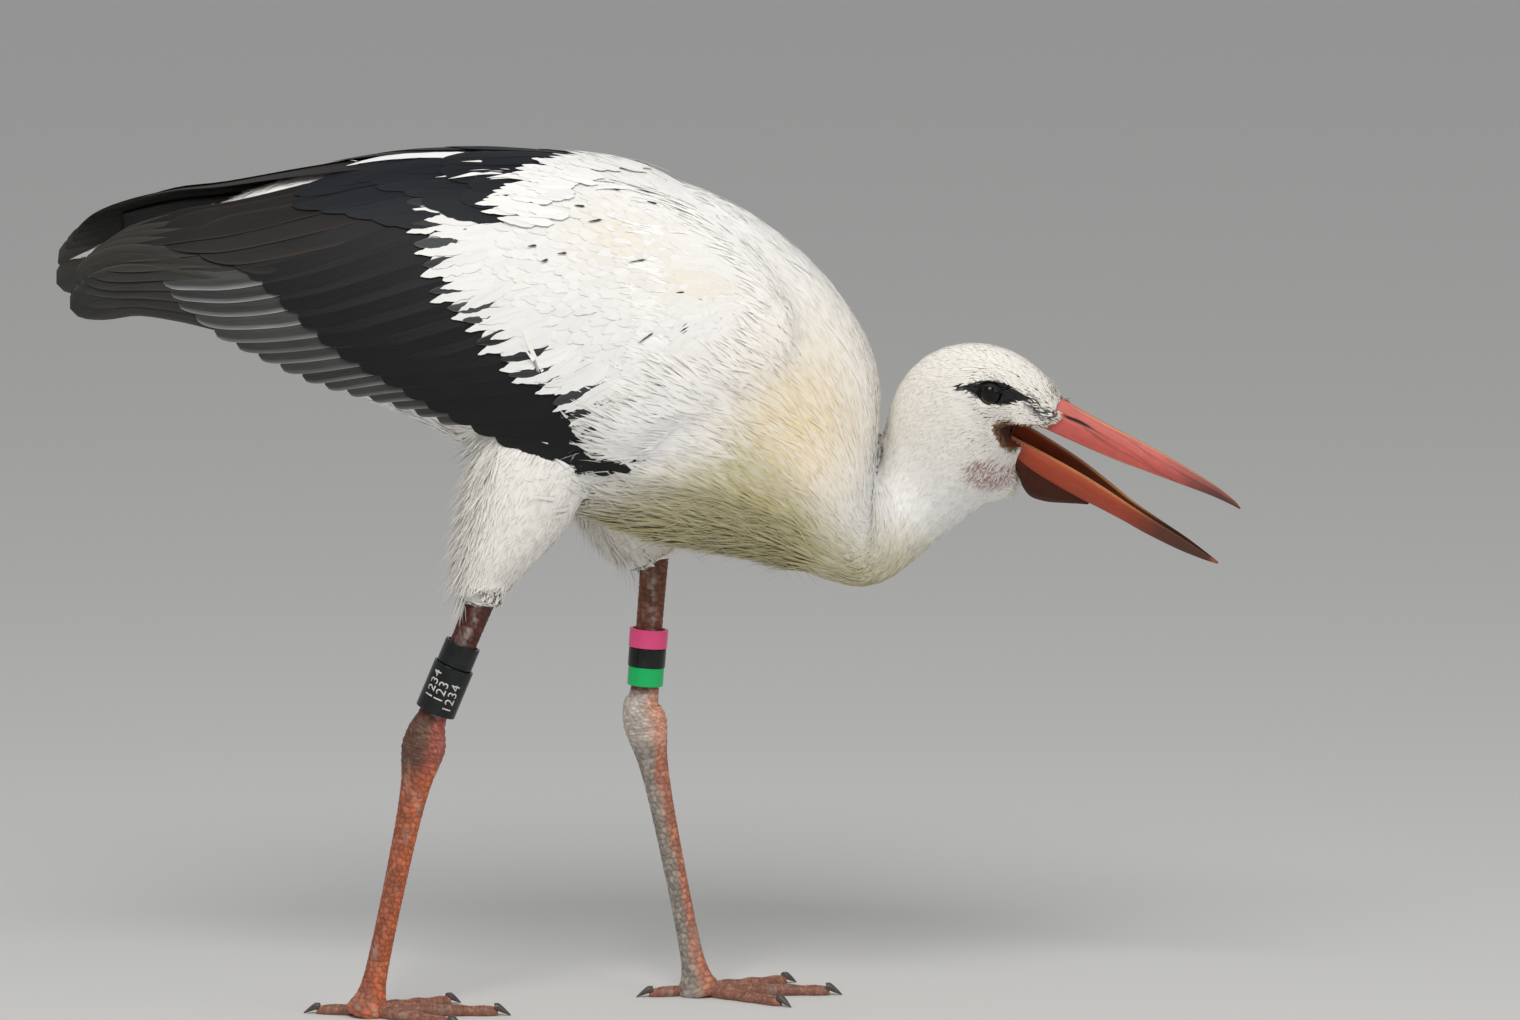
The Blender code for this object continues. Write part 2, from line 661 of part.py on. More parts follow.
# ---------------------------------------------------------------- assembly


def centre_on_floor(root):
    """Moves the bird so that the origin is under the middle of its box."""
    bpy.context.view_layer.update()
    graph = bpy.context.evaluated_depsgraph_get()
    corners = []
    for part in bpy.context.scene.objects:
        if part.type == "MESH" and not part.hide_render:
            shown = part.evaluated_get(graph)
            corners += [shown.matrix_world @ Vector(corner) for corner in shown.bound_box]
    corners = np.array(corners)
    middle = (corners.min(axis=0) + corners.max(axis=0)) / 2
    root.location = (-middle[0], -middle[1], 0)


def main():
    for existing in list(bpy.data.objects):
        bpy.data.objects.remove(existing)
    root = bpy.data.objects.new("stork", None)
    bpy.context.scene.collection.objects.link(root)
    trunk, trunk_grown = body()
    head()
    stern = tail()
    wing_spaces = {name: wing(name, side) for name, side in (("right", -1), ("left", 1))}
    cut(trunk, *wing_spaces.values())
    cut(stern, trunk_grown)
    for name, side in (("right", -1), ("left", 1)):
        leg(name, side, (trunk_grown, wing_spaces[name]))
    centre_on_floor(root)


main()
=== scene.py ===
import math

import bmesh
import bpy
import numpy as np
from mathutils import Matrix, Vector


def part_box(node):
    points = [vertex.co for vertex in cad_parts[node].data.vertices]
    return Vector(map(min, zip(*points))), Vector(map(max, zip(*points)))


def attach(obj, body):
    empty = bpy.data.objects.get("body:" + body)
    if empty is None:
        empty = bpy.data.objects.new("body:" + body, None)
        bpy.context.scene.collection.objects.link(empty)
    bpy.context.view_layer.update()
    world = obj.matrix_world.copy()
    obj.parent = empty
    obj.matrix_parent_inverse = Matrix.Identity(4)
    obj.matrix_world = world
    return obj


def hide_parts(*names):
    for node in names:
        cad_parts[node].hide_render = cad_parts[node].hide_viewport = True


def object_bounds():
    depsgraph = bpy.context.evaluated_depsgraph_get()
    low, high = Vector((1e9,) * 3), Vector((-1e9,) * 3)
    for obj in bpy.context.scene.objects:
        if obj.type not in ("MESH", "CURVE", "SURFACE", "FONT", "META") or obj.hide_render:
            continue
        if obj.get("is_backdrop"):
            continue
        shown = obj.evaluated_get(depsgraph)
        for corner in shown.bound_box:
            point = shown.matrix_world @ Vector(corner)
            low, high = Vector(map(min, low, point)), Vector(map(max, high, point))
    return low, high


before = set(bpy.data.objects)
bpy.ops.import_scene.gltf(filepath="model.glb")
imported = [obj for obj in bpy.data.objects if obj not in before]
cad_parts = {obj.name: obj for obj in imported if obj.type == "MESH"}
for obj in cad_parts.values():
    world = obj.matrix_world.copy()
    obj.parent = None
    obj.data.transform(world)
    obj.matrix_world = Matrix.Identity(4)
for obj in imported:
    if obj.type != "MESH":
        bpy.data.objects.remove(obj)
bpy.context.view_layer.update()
chance = np.random.default_rng(7)

# ---------------------------------------------------------------- flesh
# Trunk, neck, head, thighs and wing arms are one body under one skin. The skin is bare only
# round the eyes and at the gape; elsewhere it lies under the coat by the feathers' depth.

MM = 0.001
SHOULDER_X = 115.0  # mm, where the wings' front ends lie in this script's tables
BIRD_ZERO = np.array((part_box("wing_right_arm")[1].x - SHOULDER_X * MM, 0.0, 0.0))
FLESH = (
    "trunk", "neck_lower", "neck_upper", "head", "thigh_left", "thigh_right", "wing_left_arm",
    "wing_right_arm"
)
PART_LINE = 0.5 * MM  # each flesh solid is grown by this, to close the gaps between them
VOXEL = 2.5 * MM

# The body from tail to bill, in mm: back point (x, z), belly point (x, z), half width.
BODY_LINE = (
    (-320, 592, -312, 568, 12), (-285, 611, -272, 508, 36), (-235, 624, -228, 464, 60),
    (-179, 633, -172, 444, 78), (-105, 635, -105, 405, 89), (-31, 631, -38, 369, 92),
    (43, 611, 18, 350, 91), (80, 593, 48, 345, 89), (117, 565, 78, 340, 84),
    (146, 533, 104, 332, 77), (165, 503, 122, 326, 69), (174, 477, 134, 321, 61),
    (176, 454, 143, 318, 54), (173.5, 425, 152, 315.5, 47), (171, 402, 162, 315, 42),
    (170.5, 389, 174, 316, 38.5), (174, 394, 188, 321, 37), (177.5, 405, 203, 330.5, 37),
    (180, 420, 219, 343, 37.5), (183, 436, 238, 357, 37.5), (187, 454, 256, 370, 37),
    (192.5, 470, 264.5, 373.4, 36), (203, 484.5, 271, 377.3, 34.5), (217, 494.5, 275, 382, 33),
    (236, 500, 277, 389.5, 31.5), (255, 499.5, 278, 399, 30), (272, 494, 279, 408, 28),
    (287, 485, 282.5, 417, 24.5), (299, 473, 290, 424.5, 20), (307.5, 462.5, 299, 430, 15.5),
    (312, 456, 306, 434, 12.5),
)
NECK_ROW, HEAD_ROW = 10, 20  # where the neck and the head begin in that table
# Thighs: x, y, z, half depth along x, half width along y.
THIGH_LINES = (
    ((-70, -52, 436, 48, 30), (-90, -51, 386, 41, 29), (-108, -50, 350, 29.5, 25),
     (-117, -49, 329, 22, 20), (-120.5, -48, 309, 14.5, 13.5)),
    ((-20, 52, 420, 47, 30), (-13, 51, 380, 42, 28), (-6, 50, 354, 31, 24),
     (3, 49, 338, 22, 19), (8.5, 48, 324, 14.5, 13.5)),
)
# The head's own frame: along the bill, left, up; nose down and tilted towards the right side.
HEAD_PITCH, HEAD_ROLL = math.radians(28), math.radians(28)
EYE_IN_HEAD = np.array((3.6, 18.5, 29.3))  # mm, left eye; the right one is mirrored
HEAD_TURN = np.array(Matrix.Rotation(HEAD_PITCH, 3, "Y") @ Matrix.Rotation(HEAD_ROLL, 3, "X"))


def box_middle(node):
    """Middle of a CAD node's box as an array."""
    low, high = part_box(node)
    return np.array((low + high) / 2)


def from_bird(points):
    """Points in the tables' millimetres to metres of the row frame: zero + points / 1000."""
    return BIRD_ZERO + np.asarray(points, float) * MM


EYES_MIDDLE = (box_middle("eye_left") + box_middle("eye_right")) / 2
HEAD_ZERO = EYES_MIDDLE - HEAD_TURN @ (EYE_IN_HEAD * (1, 0, 1)) * MM


def from_head(points):
    """Points of the head's frame in millimetres to the row frame: zero + turn * points / 1000."""
    return HEAD_ZERO + np.asarray(points, float) @ HEAD_TURN.T * MM


def to_head(points):
    """The opposite of from_head: turn transposed * (points - zero) * 1000."""
    return (np.asarray(points) - HEAD_ZERO) @ HEAD_TURN / MM


def unit(vectors):
    """Each vector over its own length."""
    return vectors / np.maximum(np.linalg.norm(vectors, axis=-1, keepdims=True), 1e-12)


def steps(count):
    """count even steps from 0 to 1."""
    return np.linspace(0, 1, count)


def round_angles(count):
    """Angles once round in count even steps, as one row."""
    return np.linspace(0, 2 * math.pi, count, endpoint=False)[None]


def ease(low, high, value):
    """0 below low, 1 above high, 3 t^2 - 2 t^3 between."""
    t = np.clip((value - low) / (high - low), 0, 1)
    return t * t * (3 - 2 * t)


def smooth_rows(rows, count):
    """The rows as a Catmull-Rom curve, read at count even steps from the first row to the last."""
    keys = np.array(rows, float)
    padded = np.vstack([2 * keys[0] - keys[1], keys, 2 * keys[-1] - keys[-2]])
    at = np.linspace(0, len(keys) - 1, count)
    first = np.minimum(at.astype(int), len(keys) - 2)
    t = (at - first)[:, None]
    p0, p1, p2, p3 = (padded[first + shift] for shift in range(4))
    return 0.5 * (
        2 * p1 + (p2 - p0) * t + (2 * p0 - 5 * p1 + 4 * p2 - p3) * t**2 + (3 * p1 - p0 - 3 * p2 + p3) * t**3
    )


class Term:
    """A node's output in an expression. Arithmetic on it adds Math nodes to the same tree."""

    def __init__(self, socket):
        self.socket = socket

    def math(self, operation, first, second=0.0, clamp=False):
        tree = self.socket.id_data
        node = tree.nodes.new("ShaderNodeMath")
        node.operation, node.use_clamp = operation, clamp
        for socket, value in zip(node.inputs, (first, second)):
            plug(socket, value)
        return Term(node.outputs[0])

    def __add__(self, other):
        return self.math("ADD", self, other)

    def __sub__(self, other):
        return self.math("SUBTRACT", self, other)

    def __rsub__(self, other):
        return self.math("SUBTRACT", other, self)

    def __mul__(self, other):
        return self.math("MULTIPLY", self, other)

    __radd__, __rmul__ = __add__, __mul__

    def step(self, low, high):
        """0 below low, 1 above high, a straight rise between."""
        return self.math("MULTIPLY", self - low, 1 / (high - low), clamp=True)

    def wave(self, turns):
        """Sine of the value times turns full turns, from 0 to 1."""
        return self.math("SINE", self * (2 * math.pi * turns)) * 0.5 + 0.5

    def size(self):
        """The value without its sign."""
        return self.math("ABSOLUTE", self)


def plug(socket, value):
    """Links a Term to the socket, or sets the socket's own value."""
    if isinstance(value, Term):
        socket.id_data.links.new(value.socket, socket)
    else:
        socket.default_value = value


class Finish:
    """A material round one Principled shader. fixed are values that are the same all over."""

    def __init__(self, name, fixed):
        self.material = bpy.data.materials.new(name)
        self.material.use_nodes = True
        self.tree = self.material.node_tree
        self.shader = self.tree.nodes["Principled BSDF"]
        for socket, value in fixed.items():
            self.shader.inputs[socket].default_value = value

    def node(self, kind, settings, sockets, output=0):
        """A node of any kind: its settings first, then its sockets by name or number. A ramp's
        stops are given as the setting stops, rows of place and colour."""
        node = self.tree.nodes.new("ShaderNode" + kind)
        for name, value in settings.items():
            if name == "stops":
                ramp = node.color_ramp.elements
                while len(ramp) < len(value):
                    ramp.new(1.0)
                for stop, (place, colour) in zip(ramp, value):
                    stop.position, stop.color = place, (*colour, 1)
            else:
                setattr(node, name, value)
        for name, value in sockets.items():
            plug(node.inputs[name], value)
        return Term(node.outputs[output])

    def place(self):
        """Object coordinates."""
        return self.node("TexCoord", {}, {}, "Object")

    def attribute(self, name, output="Color"):
        return self.node("Attribute", {"attribute_name": name}, {}, output)

    def noise(self, scale, detail=3.0, rough=0.5, place=None):
        """Noise over the object, or over another place. scale may be one for each axis."""
        place = place or self.place()
        if isinstance(scale, tuple):
            place, scale = self.node("Mapping", {}, {"Vector": place, "Scale": scale}), 1.0
        sockets = {"Vector": place, "Scale": scale, "Detail": detail, "Roughness": rough}
        return self.node("TexNoise", {}, sockets)

    def cells(self, scale, feature="DISTANCE_TO_EDGE"):
        return self.node("TexVoronoi", {"feature": feature}, {"Vector": self.place(), "Scale": scale})

    def mixed(self, share, first, second, blend="MIX"):
        """Two colours mixed by share. A plain colour is given as three numbers."""
        first, second = ((*c, 1) if isinstance(c, tuple) else c for c in (first, second))
        settings = {"data_type": "RGBA", "blend_type": blend}
        return self.node("Mix", settings, {0: share, 6: first, 7: second}, 2)

    def shade(self, colour, factor):
        """A colour times a number."""
        return self.node("VectorMath", {"operation": "SCALE"}, {0: colour, "Scale": factor})

    def bump(self, height, distance, strength=1.0, normal=None):
        sockets = {"Height": height, "Distance": distance, "Strength": strength}
        return self.node("Bump", {}, sockets | ({"Normal": normal} if normal else {}))

    def feed(self, sockets):
        for name, value in sockets.items():
            plug(self.shader.inputs[name], value)
        return self.material

    def grained(self, grain, span, least, depth, strength, height=None):
        """The attribute tint times span * grain + least, with the grain or height as a bump."""
        colour = self.shade(self.attribute("tint"), grain * span + least)
        raised = grain if height is None else height
        return self.feed({"Base Color": colour, "Normal": self.bump(raised, depth, strength)})


def in_a_row(values):
    """The numbers as one row in single precision, as a mesh takes them."""
    return np.ascontiguousarray(values, np.float32).ravel()


def new_object(name, data):
    """An object of the data, in the scene."""
    made = bpy.data.objects.new(name, data)
    bpy.context.scene.collection.objects.link(made)
    return made


def add_piece(name, points, faces, material, slot, replaced=(), tint=None, maps=None):
    """One object of the row frame's points and of faces, a list of index arrays, one row a face.

    tint is a colour for each point, with or without an alpha. maps are UV maps by name, a pair
    for each point or corner.
    """
    corners = np.concatenate([rows.ravel() for rows in faces])
    sizes = np.concatenate([np.full(len(rows), rows.shape[1]) for rows in faces])
    mesh = bpy.data.meshes.new(name)
    mesh.vertices.add(len(points))
    mesh.vertices.foreach_set("co", in_a_row(points))
    mesh.loops.add(len(corners))
    mesh.loops.foreach_set("vertex_index", corners.astype(np.int32))
    mesh.polygons.add(len(sizes))
    mesh.polygons.foreach_set("loop_start", (np.cumsum(sizes) - sizes).astype(np.int32))
    mesh.update(calc_edges=True)
    mesh.shade_smooth()
    if tint is not None:
        tint = np.column_stack([tint, np.ones(len(tint))]) if tint.shape[1] == 3 else tint
        layer = mesh.color_attributes.new("tint", "FLOAT_COLOR", "POINT")
        layer.data.foreach_set("color", in_a_row(tint))
    for label, values in (maps or {}).items():
        values = values[corners] if len(values) == len(points) else values
        mesh.uv_layers.new(name=label).data.foreach_set("uv", in_a_row(values))
    mesh.materials.append(material)
    made = new_object(name, mesh)
    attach(made, "root")
    if replaced:
        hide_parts(*replaced)
    return made


def mesh_arrays(mesh):
    """Points, normals and face corners (one row a face, all faces of one size) of a mesh."""
    points = np.empty(len(mesh.vertices) * 3, np.float32)
    mesh.vertices.foreach_get("co", points)
    normals = np.empty(len(mesh.vertices) * 3, np.float32)
    mesh.vertex_normals.foreach_get("vector", normals)
    corners = np.empty(len(mesh.loops), np.int32)
    mesh.loops.foreach_get("vertex_index", corners)
    size = len(mesh.loops) // len(mesh.polygons)
    points, normals = (values.reshape(-1, 3).astype(float) for values in (points, normals))
    return points, normals, corners.reshape(-1, size)


def grown_copy(node, grow):
    """Points and triangles of a CAD node with its doubles merged, moved out along its normals."""
    points, _, triangles = mesh_arrays(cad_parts[node].data)
    points, which = np.unique(np.round(points, 6), axis=0, return_inverse=True)
    triangles = which.reshape(-1)[triangles]
    a, b, c = (points[triangles[:, k]] for k in range(3))
    normals = np.zeros_like(points)
    for k in range(3):
        np.add.at(normals, triangles[:, k], np.cross(b - a, c - a))
    return points + unit(normals) * grow, triangles


def remade(points, faces, modifiers):
    """A mesh of the points and faces after modifiers, rows of type and settings, are applied."""
    mesh = bpy.data.meshes.new("working")
    mesh.from_pydata(points.tolist(), [], faces.tolist())
    shape = new_object("working", mesh)
    for kind, settings in modifiers:
        modifier = shape.modifiers.new(kind, kind)
        for name, value in settings.items():
            setattr(modifier, name, value)
    graph = bpy.context.evaluated_depsgraph_get()
    applied = bpy.data.meshes.new_from_object(shape.evaluated_get(graph))
    applied.shade_smooth()
    bpy.data.objects.remove(shape)
    return applied


def body_form(count, around):
    """Outer form of the body as a grid: at row k and angle t the point is
    centre + cos t * up + sin t * (1 - 0.1 cos t) * side, turned with the head along the neck."""
    rows = smooth_rows(BODY_LINE, count)
    place = np.linspace(0, len(BODY_LINE) - 1, count)
    share = (place - NECK_ROW) / (HEAD_ROW - NECK_ROW)
    turn = HEAD_ROLL * ease(0.35, 1, share)
    head_x, head_z = (HEAD_ZERO - BIRD_ZERO)[[0, 2]] / MM
    c, s = math.cos(HEAD_PITCH), math.sin(HEAD_PITCH)

    def pitched(x, z):
        return np.stack([(x - head_x) * c - (z - head_z) * s, (x - head_x) * s + (z - head_z) * c], -1)

    back, belly = pitched(rows[:, 0], rows[:, 1]), pitched(rows[:, 2], rows[:, 3])
    centre, up, width = (back + belly) / 2, (back - belly) / 2, rows[:, 4]
    tall = np.sqrt(np.maximum(up[:, 1] ** 2 - (width * np.sin(turn)) ** 2, (0.3 * up[:, 1]) ** 2))
    up[:, 1] = np.sign(up[:, 1]) * tall / np.cos(turn)
    centre[:, 1] /= np.cos(turn)
    angle = round_angles(around)
    along = centre[:, :1] + np.cos(angle) * up[:, :1]
    height = centre[:, 1:] + np.cos(angle) * up[:, 1:]
    aside = np.sin(angle) * (1 - 0.1 * np.cos(angle)) * width[:, None]
    ct, st = np.cos(turn)[:, None], np.sin(turn)[:, None]
    aside, height = aside * ct - height * st, aside * st + height * ct
    x = head_x + along * c + height * s
    z = head_z - along * s + height * c
    return np.stack([x, aside, z], -1), place, angle


def thigh_form(line, count, around):
    """Outer form of a thigh as a grid: centre + cos t * depth * x + sin t * width * y."""
    rows = smooth_rows(line, count)
    angle = round_angles(around)[..., None]
    reach = np.cos(angle) * rows[:, None, 3:4] * (1, 0, 0) + np.sin(angle) * rows[:, None, 4:5] * (0, 1, 0)
    return rows[:, None, :3] + reach


def nearest(points, samples):
    """For each point the number of its nearest sample: least of |s|^2 - 2 p.s, in blocks."""
    found = np.empty(len(points), int)
    weight = (samples**2).sum(1)
    for start in range(0, len(points), 2000):
        block = points[start : start + 2000]
        found[start : start + 2000] = np.argmin(weight - 2 * block @ samples.T, axis=1)
    return found


class Lie:
    """Where points sit on the body's outer form: station along it (0 tail to 30 bill, and 40 or
    50 upwards on the right or left thigh), angle round it, and the way the feathers lie."""

    ROWS, AROUND = 150, 48
    THIGH_ROWS = 24

    def __init__(self):
        form, place, angle = body_form(self.ROWS, self.AROUND)
        ways = -np.gradient(form, axis=0)
        samples, stations, turns = [form], [np.repeat(place, self.AROUND)], [np.tile(angle[0], self.ROWS)]
        directions = [ways]
        for k, line in enumerate(THIGH_LINES):
            thigh = thigh_form(line, self.THIGH_ROWS, self.AROUND)
            samples.append(thigh)
            stations.append(np.repeat(40 + 10 * k + np.linspace(0, 4, self.THIGH_ROWS), self.AROUND))
            turns.append(np.tile(angle[0], self.THIGH_ROWS))
            directions.append(np.gradient(thigh, axis=0))
        self.samples = from_bird(np.concatenate([s.reshape(-1, 3) for s in samples]))
        self.stations, self.turns = np.concatenate(stations), np.concatenate(turns)
        self.directions = unit(np.concatenate([d.reshape(-1, 3) for d in directions]))

    def read(self, points):
        """Station, angle, lie and nearest form point of each point."""
        k = nearest(points.astype(np.float32), self.samples.astype(np.float32))
        return self.stations[k], self.turns[k], self.directions[k], self.samples[k]


def averaged(values, faces, rounds):
    """Values of points averaged with their neighbours' along the faces' edges, over and over."""
    edges = np.concatenate([np.stack([faces[:, k - 1], faces[:, k]], 1) for k in range(faces.shape[1])])
    one, other = edges.T
    count = np.bincount(one, minlength=len(values))[:, None]
    count = count + np.bincount(other, minlength=len(values))[:, None]
    for _ in range(rounds):
        total = np.empty_like(values)
        for axis in range(values.shape[1]):
            total[:, axis] = np.bincount(one, values[other, axis], len(values))
            total[:, axis] += np.bincount(other, values[one, axis], len(values))
        values = (values + total / count) / 2
    return values


solids = [grown_copy(node, PART_LINE) for node in FLESH]
offsets = np.cumsum([0] + [len(points) for points, _ in solids])
flesh_points = np.concatenate([points for points, _ in solids])
flesh_faces = np.concatenate([triangles + shift for (_, triangles), shift in zip(solids, offsets)])
form = remade(
    flesh_points,
    flesh_faces,
    (("REMESH", {"mode": "VOXEL", "voxel_size": VOXEL}), ("SMOOTH", {"factor": 0.5, "iterations": 4})),
)
skin_points, skin_normals, skin_faces = mesh_arrays(form)
# the wing's front edge sinks into the shoulder: the points there are averaged into one slope
spot = (skin_points - BIRD_ZERO) / MM
at_shoulder = (
    ease(25, 62, spot[:, 0]) * ease(34, 55, np.abs(spot[:, 1]))
    * ease(400, 440, spot[:, 2])
)
skin_points = skin_points + (averaged(skin_points, skin_faces, 320) - skin_points) * at_shoulder[:, None]
form.vertices.foreach_set("co", in_a_row(skin_points))
form.update()
skin_points, skin_normals, skin_faces = mesh_arrays(form)
lie = Lie()
station, turn, way, form_point = lie.read(skin_points)
outside = ((skin_points - form_point) * skin_normals).sum(1)
on_thigh = station >= 40
on_wing = (~on_thigh) & (outside > 3 * MM) & (station < 12) & (np.abs(skin_points[:, 1]) > 40 * MM)
# Coat depth by station along the body, in mm.
DEPTHS = ((0, 3.0), (2, 5.0), (7, 6.5), (12, 7.5), (17, 6.5), (21, 4.0), (25, 2.6), (28, 1.6), (30, 0.8))
depth = np.interp(station, *np.array(DEPTHS).T)
depth = np.where(on_thigh, 6.0 - 4.5 * ease(3, 4, station % 10), depth)
depth = np.where(on_wing, 3.0, depth)
in_head = to_head(skin_points)
eye_distance = np.linalg.norm(in_head * (1, 0, 1) + np.abs(in_head) * (0, 1, 0) - EYE_IN_HEAD, axis=1)
on_head = station > HEAD_ROW - 2
depth = np.where(on_head, depth * ease(8, 24, eye_distance) + 0.6, depth)
depth = averaged(depth[:, None], skin_faces, 12)[:, 0]
skin_points = skin_points - skin_normals * depth[:, None] * MM
way = unit(averaged(way, skin_faces, 14))

WHITE, WARM_WHITE, CREAM = (0.915, 0.905, 0.885), (0.88, 0.83, 0.73), (0.84, 0.69, 0.43)
UNDER_BUFF_AND_SHADE = (0.56, 0.5, 0.25)
BLACK_FACE, LORES_GREY, BRISTLE_BLACK = (0.012, 0.012, 0.013), (0.1, 0.095, 0.1), (0.05, 0.048, 0.05)
GAPE_BROWN, MOUTH_RED_AND_SHADE, THROAT_RED = (0.16, 0.105, 0.045), (0.1, 0.024, 0.008), (0.34, 0.13, 0.125)
LIP_RED = (0.52, 0.105, 0.085)


def plain(colour, count):
    """The colour, once for each of count points."""
    return np.tile(np.array(colour, float), (count, 1))


def blend(first, second, share):
    """first * (1 - share) + second * share, for each point. share may be a grid of the points."""
    share = np.asarray(share).reshape(-1, 1)
    return first * (1 - share) + np.asarray(second) * share


def patch(head_points):
    """1 inside the black spindle round each eye, 0 outside: limits rise as sin(pi t^0.88) over
    its line from a rear corner, more above the line than below."""
    along, up = head_points[:, 0] + 23.0, head_points[:, 2] - 21.6
    c, s = math.cos(math.radians(17.5)), math.sin(math.radians(17.5))
    t, off = (along * c + up * s) / 56, up * c - along * s
    off = off + 3.4 * np.clip(1 - t / 0.2, 0, 1)
    profile = np.sin(math.pi * np.clip((t - 0.12) / 0.88, 0, 1) ** 0.88)
    limit = np.maximum(np.where(off > 0, 10.2, 6.8) * profile, 1.9 * (t < 0.3))
    return (t > 0) * (t < 1) * (np.abs(head_points[:, 1]) > 9) * ease(0, 0.9, limit - np.abs(off))


def near_line(head_points, line):
    """Distance in mm of each point's (along, up) place from a polyline of such places."""
    least = np.full(len(head_points), 1e9)
    places = head_points[:, [0, 2]]
    for one, other in zip(np.array(line, float)[:-1], np.array(line, float)[1:]):
        run = other - one
        t = np.clip(((places - one) @ run) / (run @ run), 0, 1)
        least = np.minimum(least, np.linalg.norm(places - one - t[:, None] * run, axis=1))
    return least


def throat_patch(head_points):
    """1 where the throat's skin shows red between the tufts, an oval under the cheek."""
    spread = ((head_points[:, 0] - 33) / 22) ** 2 + ((head_points[:, 2] + 31) / 15) ** 2
    return ease(1.15, 0.45, spread) * (head_points[:, 0] < 60)


def bill_root(head_points):
    """True in front of the slanting line where feathers give way to the upper bill's horn, and
    along the bare lip that runs back from it to the corner of the mouth."""
    along, up = head_points[:, 0], head_points[:, 2]
    horn = (along > np.interp(up, (14, 24, 30, 36, 40), (42, 47.5, 53, 57, 59))) & (up > 10)
    lip_up = np.interp(along, (18, 24, 40, 47.5), (14.5, 17.2, 21.5, 24.0))
    return horn | ((along > 20) & (along < 50) & (up < lip_up) & (up > lip_up - 7))


# Where the buff of the under parts ends, x and z in mm: a real stain there, darkened further below as painted
# shade of the underside; then the gape's line, along and up, head's frame.
STAIN_AND_SHADE_TOP = (
    (-200, 360), (-60, 400), (50, 446), (85, 460), (108, 440), (125, 410), (150, 388),
    (190, 378), (230, 372), (280, 378),
)
GAPE_LINE = ((25, 16.0), (20.5, 12.5), (22, 8.5), (29, 3.5), (38, -3.5))


def markings(points, station, seed):
    """Colour of skin and coat at each point. seed is a random number for each, from 0 to 1."""
    place, head = (points - BIRD_ZERO) / MM, to_head(points)
    x, z = place[:, 0], place[:, 2]
    body, on_face = station < 40, (station > HEAD_ROW - 2) & (station < 40)
    warm = 0.3 * (station >= 40) + 0.45 * on_face * ease(380, 440, z) + 0.15 * seed
    colour = blend(plain(WHITE, len(points)), WARM_WHITE, warm)
    breast = np.exp(-(((x - 116) / 46) ** 2) - ((z - 440) / 62) ** 2) * body * (station < 13.5)
    colour = blend(colour, CREAM, np.minimum(0.8 * breast * (0.7 + 0.6 * seed), 1))
    stain_and_shade_top = np.interp(x, *np.array(STAIN_AND_SHADE_TOP, float).T)
    # the under parts grow buff and darker towards the belly: partly a real stain, partly painted shade under
    # the body
    under = ease(stain_and_shade_top, stain_and_shade_top - 58, z) * body
    colour = blend(colour, UNDER_BUFF_AND_SHADE, under * (0.55 + 0.45 * seed))
    side = np.abs(head[:, 1])
    lores = ease(5.5, 1.5, near_line(head, ((29, 37.5), (44, 31.5), (58, 33)))) * (side > 3)
    colour = blend(colour, LORES_GREY, on_face * lores * (seed < 0.7))
    gape = ease(6.5, 2.0, near_line(head, GAPE_LINE)) * (head[:, 0] < 44) * (side > 8)
    colour = blend(colour, GAPE_BROWN, on_face * gape * (0.35 + 0.65 * (seed < 0.6)))
    colour = blend(colour, THROAT_RED, on_face * throat_patch(head) * (0.14 + 0.66 * (seed < 0.45)))
    return blend(colour, BLACK_FACE, on_face * patch(head))


def round_map(station, turn):
    """A flat unwrap of the body and thighs: their length across the map, the way round up it."""
    share = np.where(station < 40, station / 30 * 0.74, 0.76 + (station - 40) * 0.02)
    share = np.where(station >= 50, 0.88 + (station - 50) * 0.02, share)
    return np.stack([share + 0.005, turn / (2 * math.pi) * 0.9 + 0.005], 1)


def skin_map(faces):
    """round_map at each face corner, carried past the seam where a face crosses it."""
    flat = round_map(station, turn)[faces]
    low = flat[..., 1] < flat[..., 1].max(axis=1, keepdims=True) - 0.45
    flat[..., 1] += 0.9 * low
    first = flat[:, :1, 0]
    flat[..., 0] = np.where(np.abs(flat[..., 0] - first) > 0.03, first, flat[..., 0])
    return flat.reshape(-1, 2)


def mouth_opening(head_points):
    """True between the lines of the upper and lower lip, seen from the side."""
    along, up = head_points[:, 0], head_points[:, 2]
    upper = np.interp(along, (21, 40, 95), (14.2, 18.4, 20))
    lower = np.interp(along, (21, 34, 50), (10.5, -1.4, -4))
    return (along > 21.5) & (up < upper) & (up > lower)


inside_mouth = on_head & mouth_opening(in_head)
skin_tint = markings(skin_points, station, np.full(len(skin_points), 0.5))
skin_tint[on_head & bill_root(in_head)] = LIP_RED
# the mouth's lining is its own red, darkened as painted shade of the gap between the bills
skin_tint[inside_mouth] = MOUTH_RED_AND_SHADE
skin_finish = Finish(
    "skin_under_feathers",
    {"Roughness": 0.7, "Subsurface Weight": 0.15, "Subsurface Scale": 0.004, "Specular IOR Level": 0.15},
)
skin_material = skin_finish.grained(skin_finish.noise(420.0, 4.0), 0.35, 0.8, 0.0006, 0.6)
skin = add_piece(
    "skin", skin_points, [skin_faces], skin_material, "white_plumage", FLESH,
    skin_tint, {"OFBake": skin_map(skin_faces)},
)

# ---------------------------------------------------------------- eyes
# Each eye is a wet dark ball with a nearly black pupil, set in a rim of bare black skin. The
# lids are one almond-shaped ring that closes over the ball's edge.

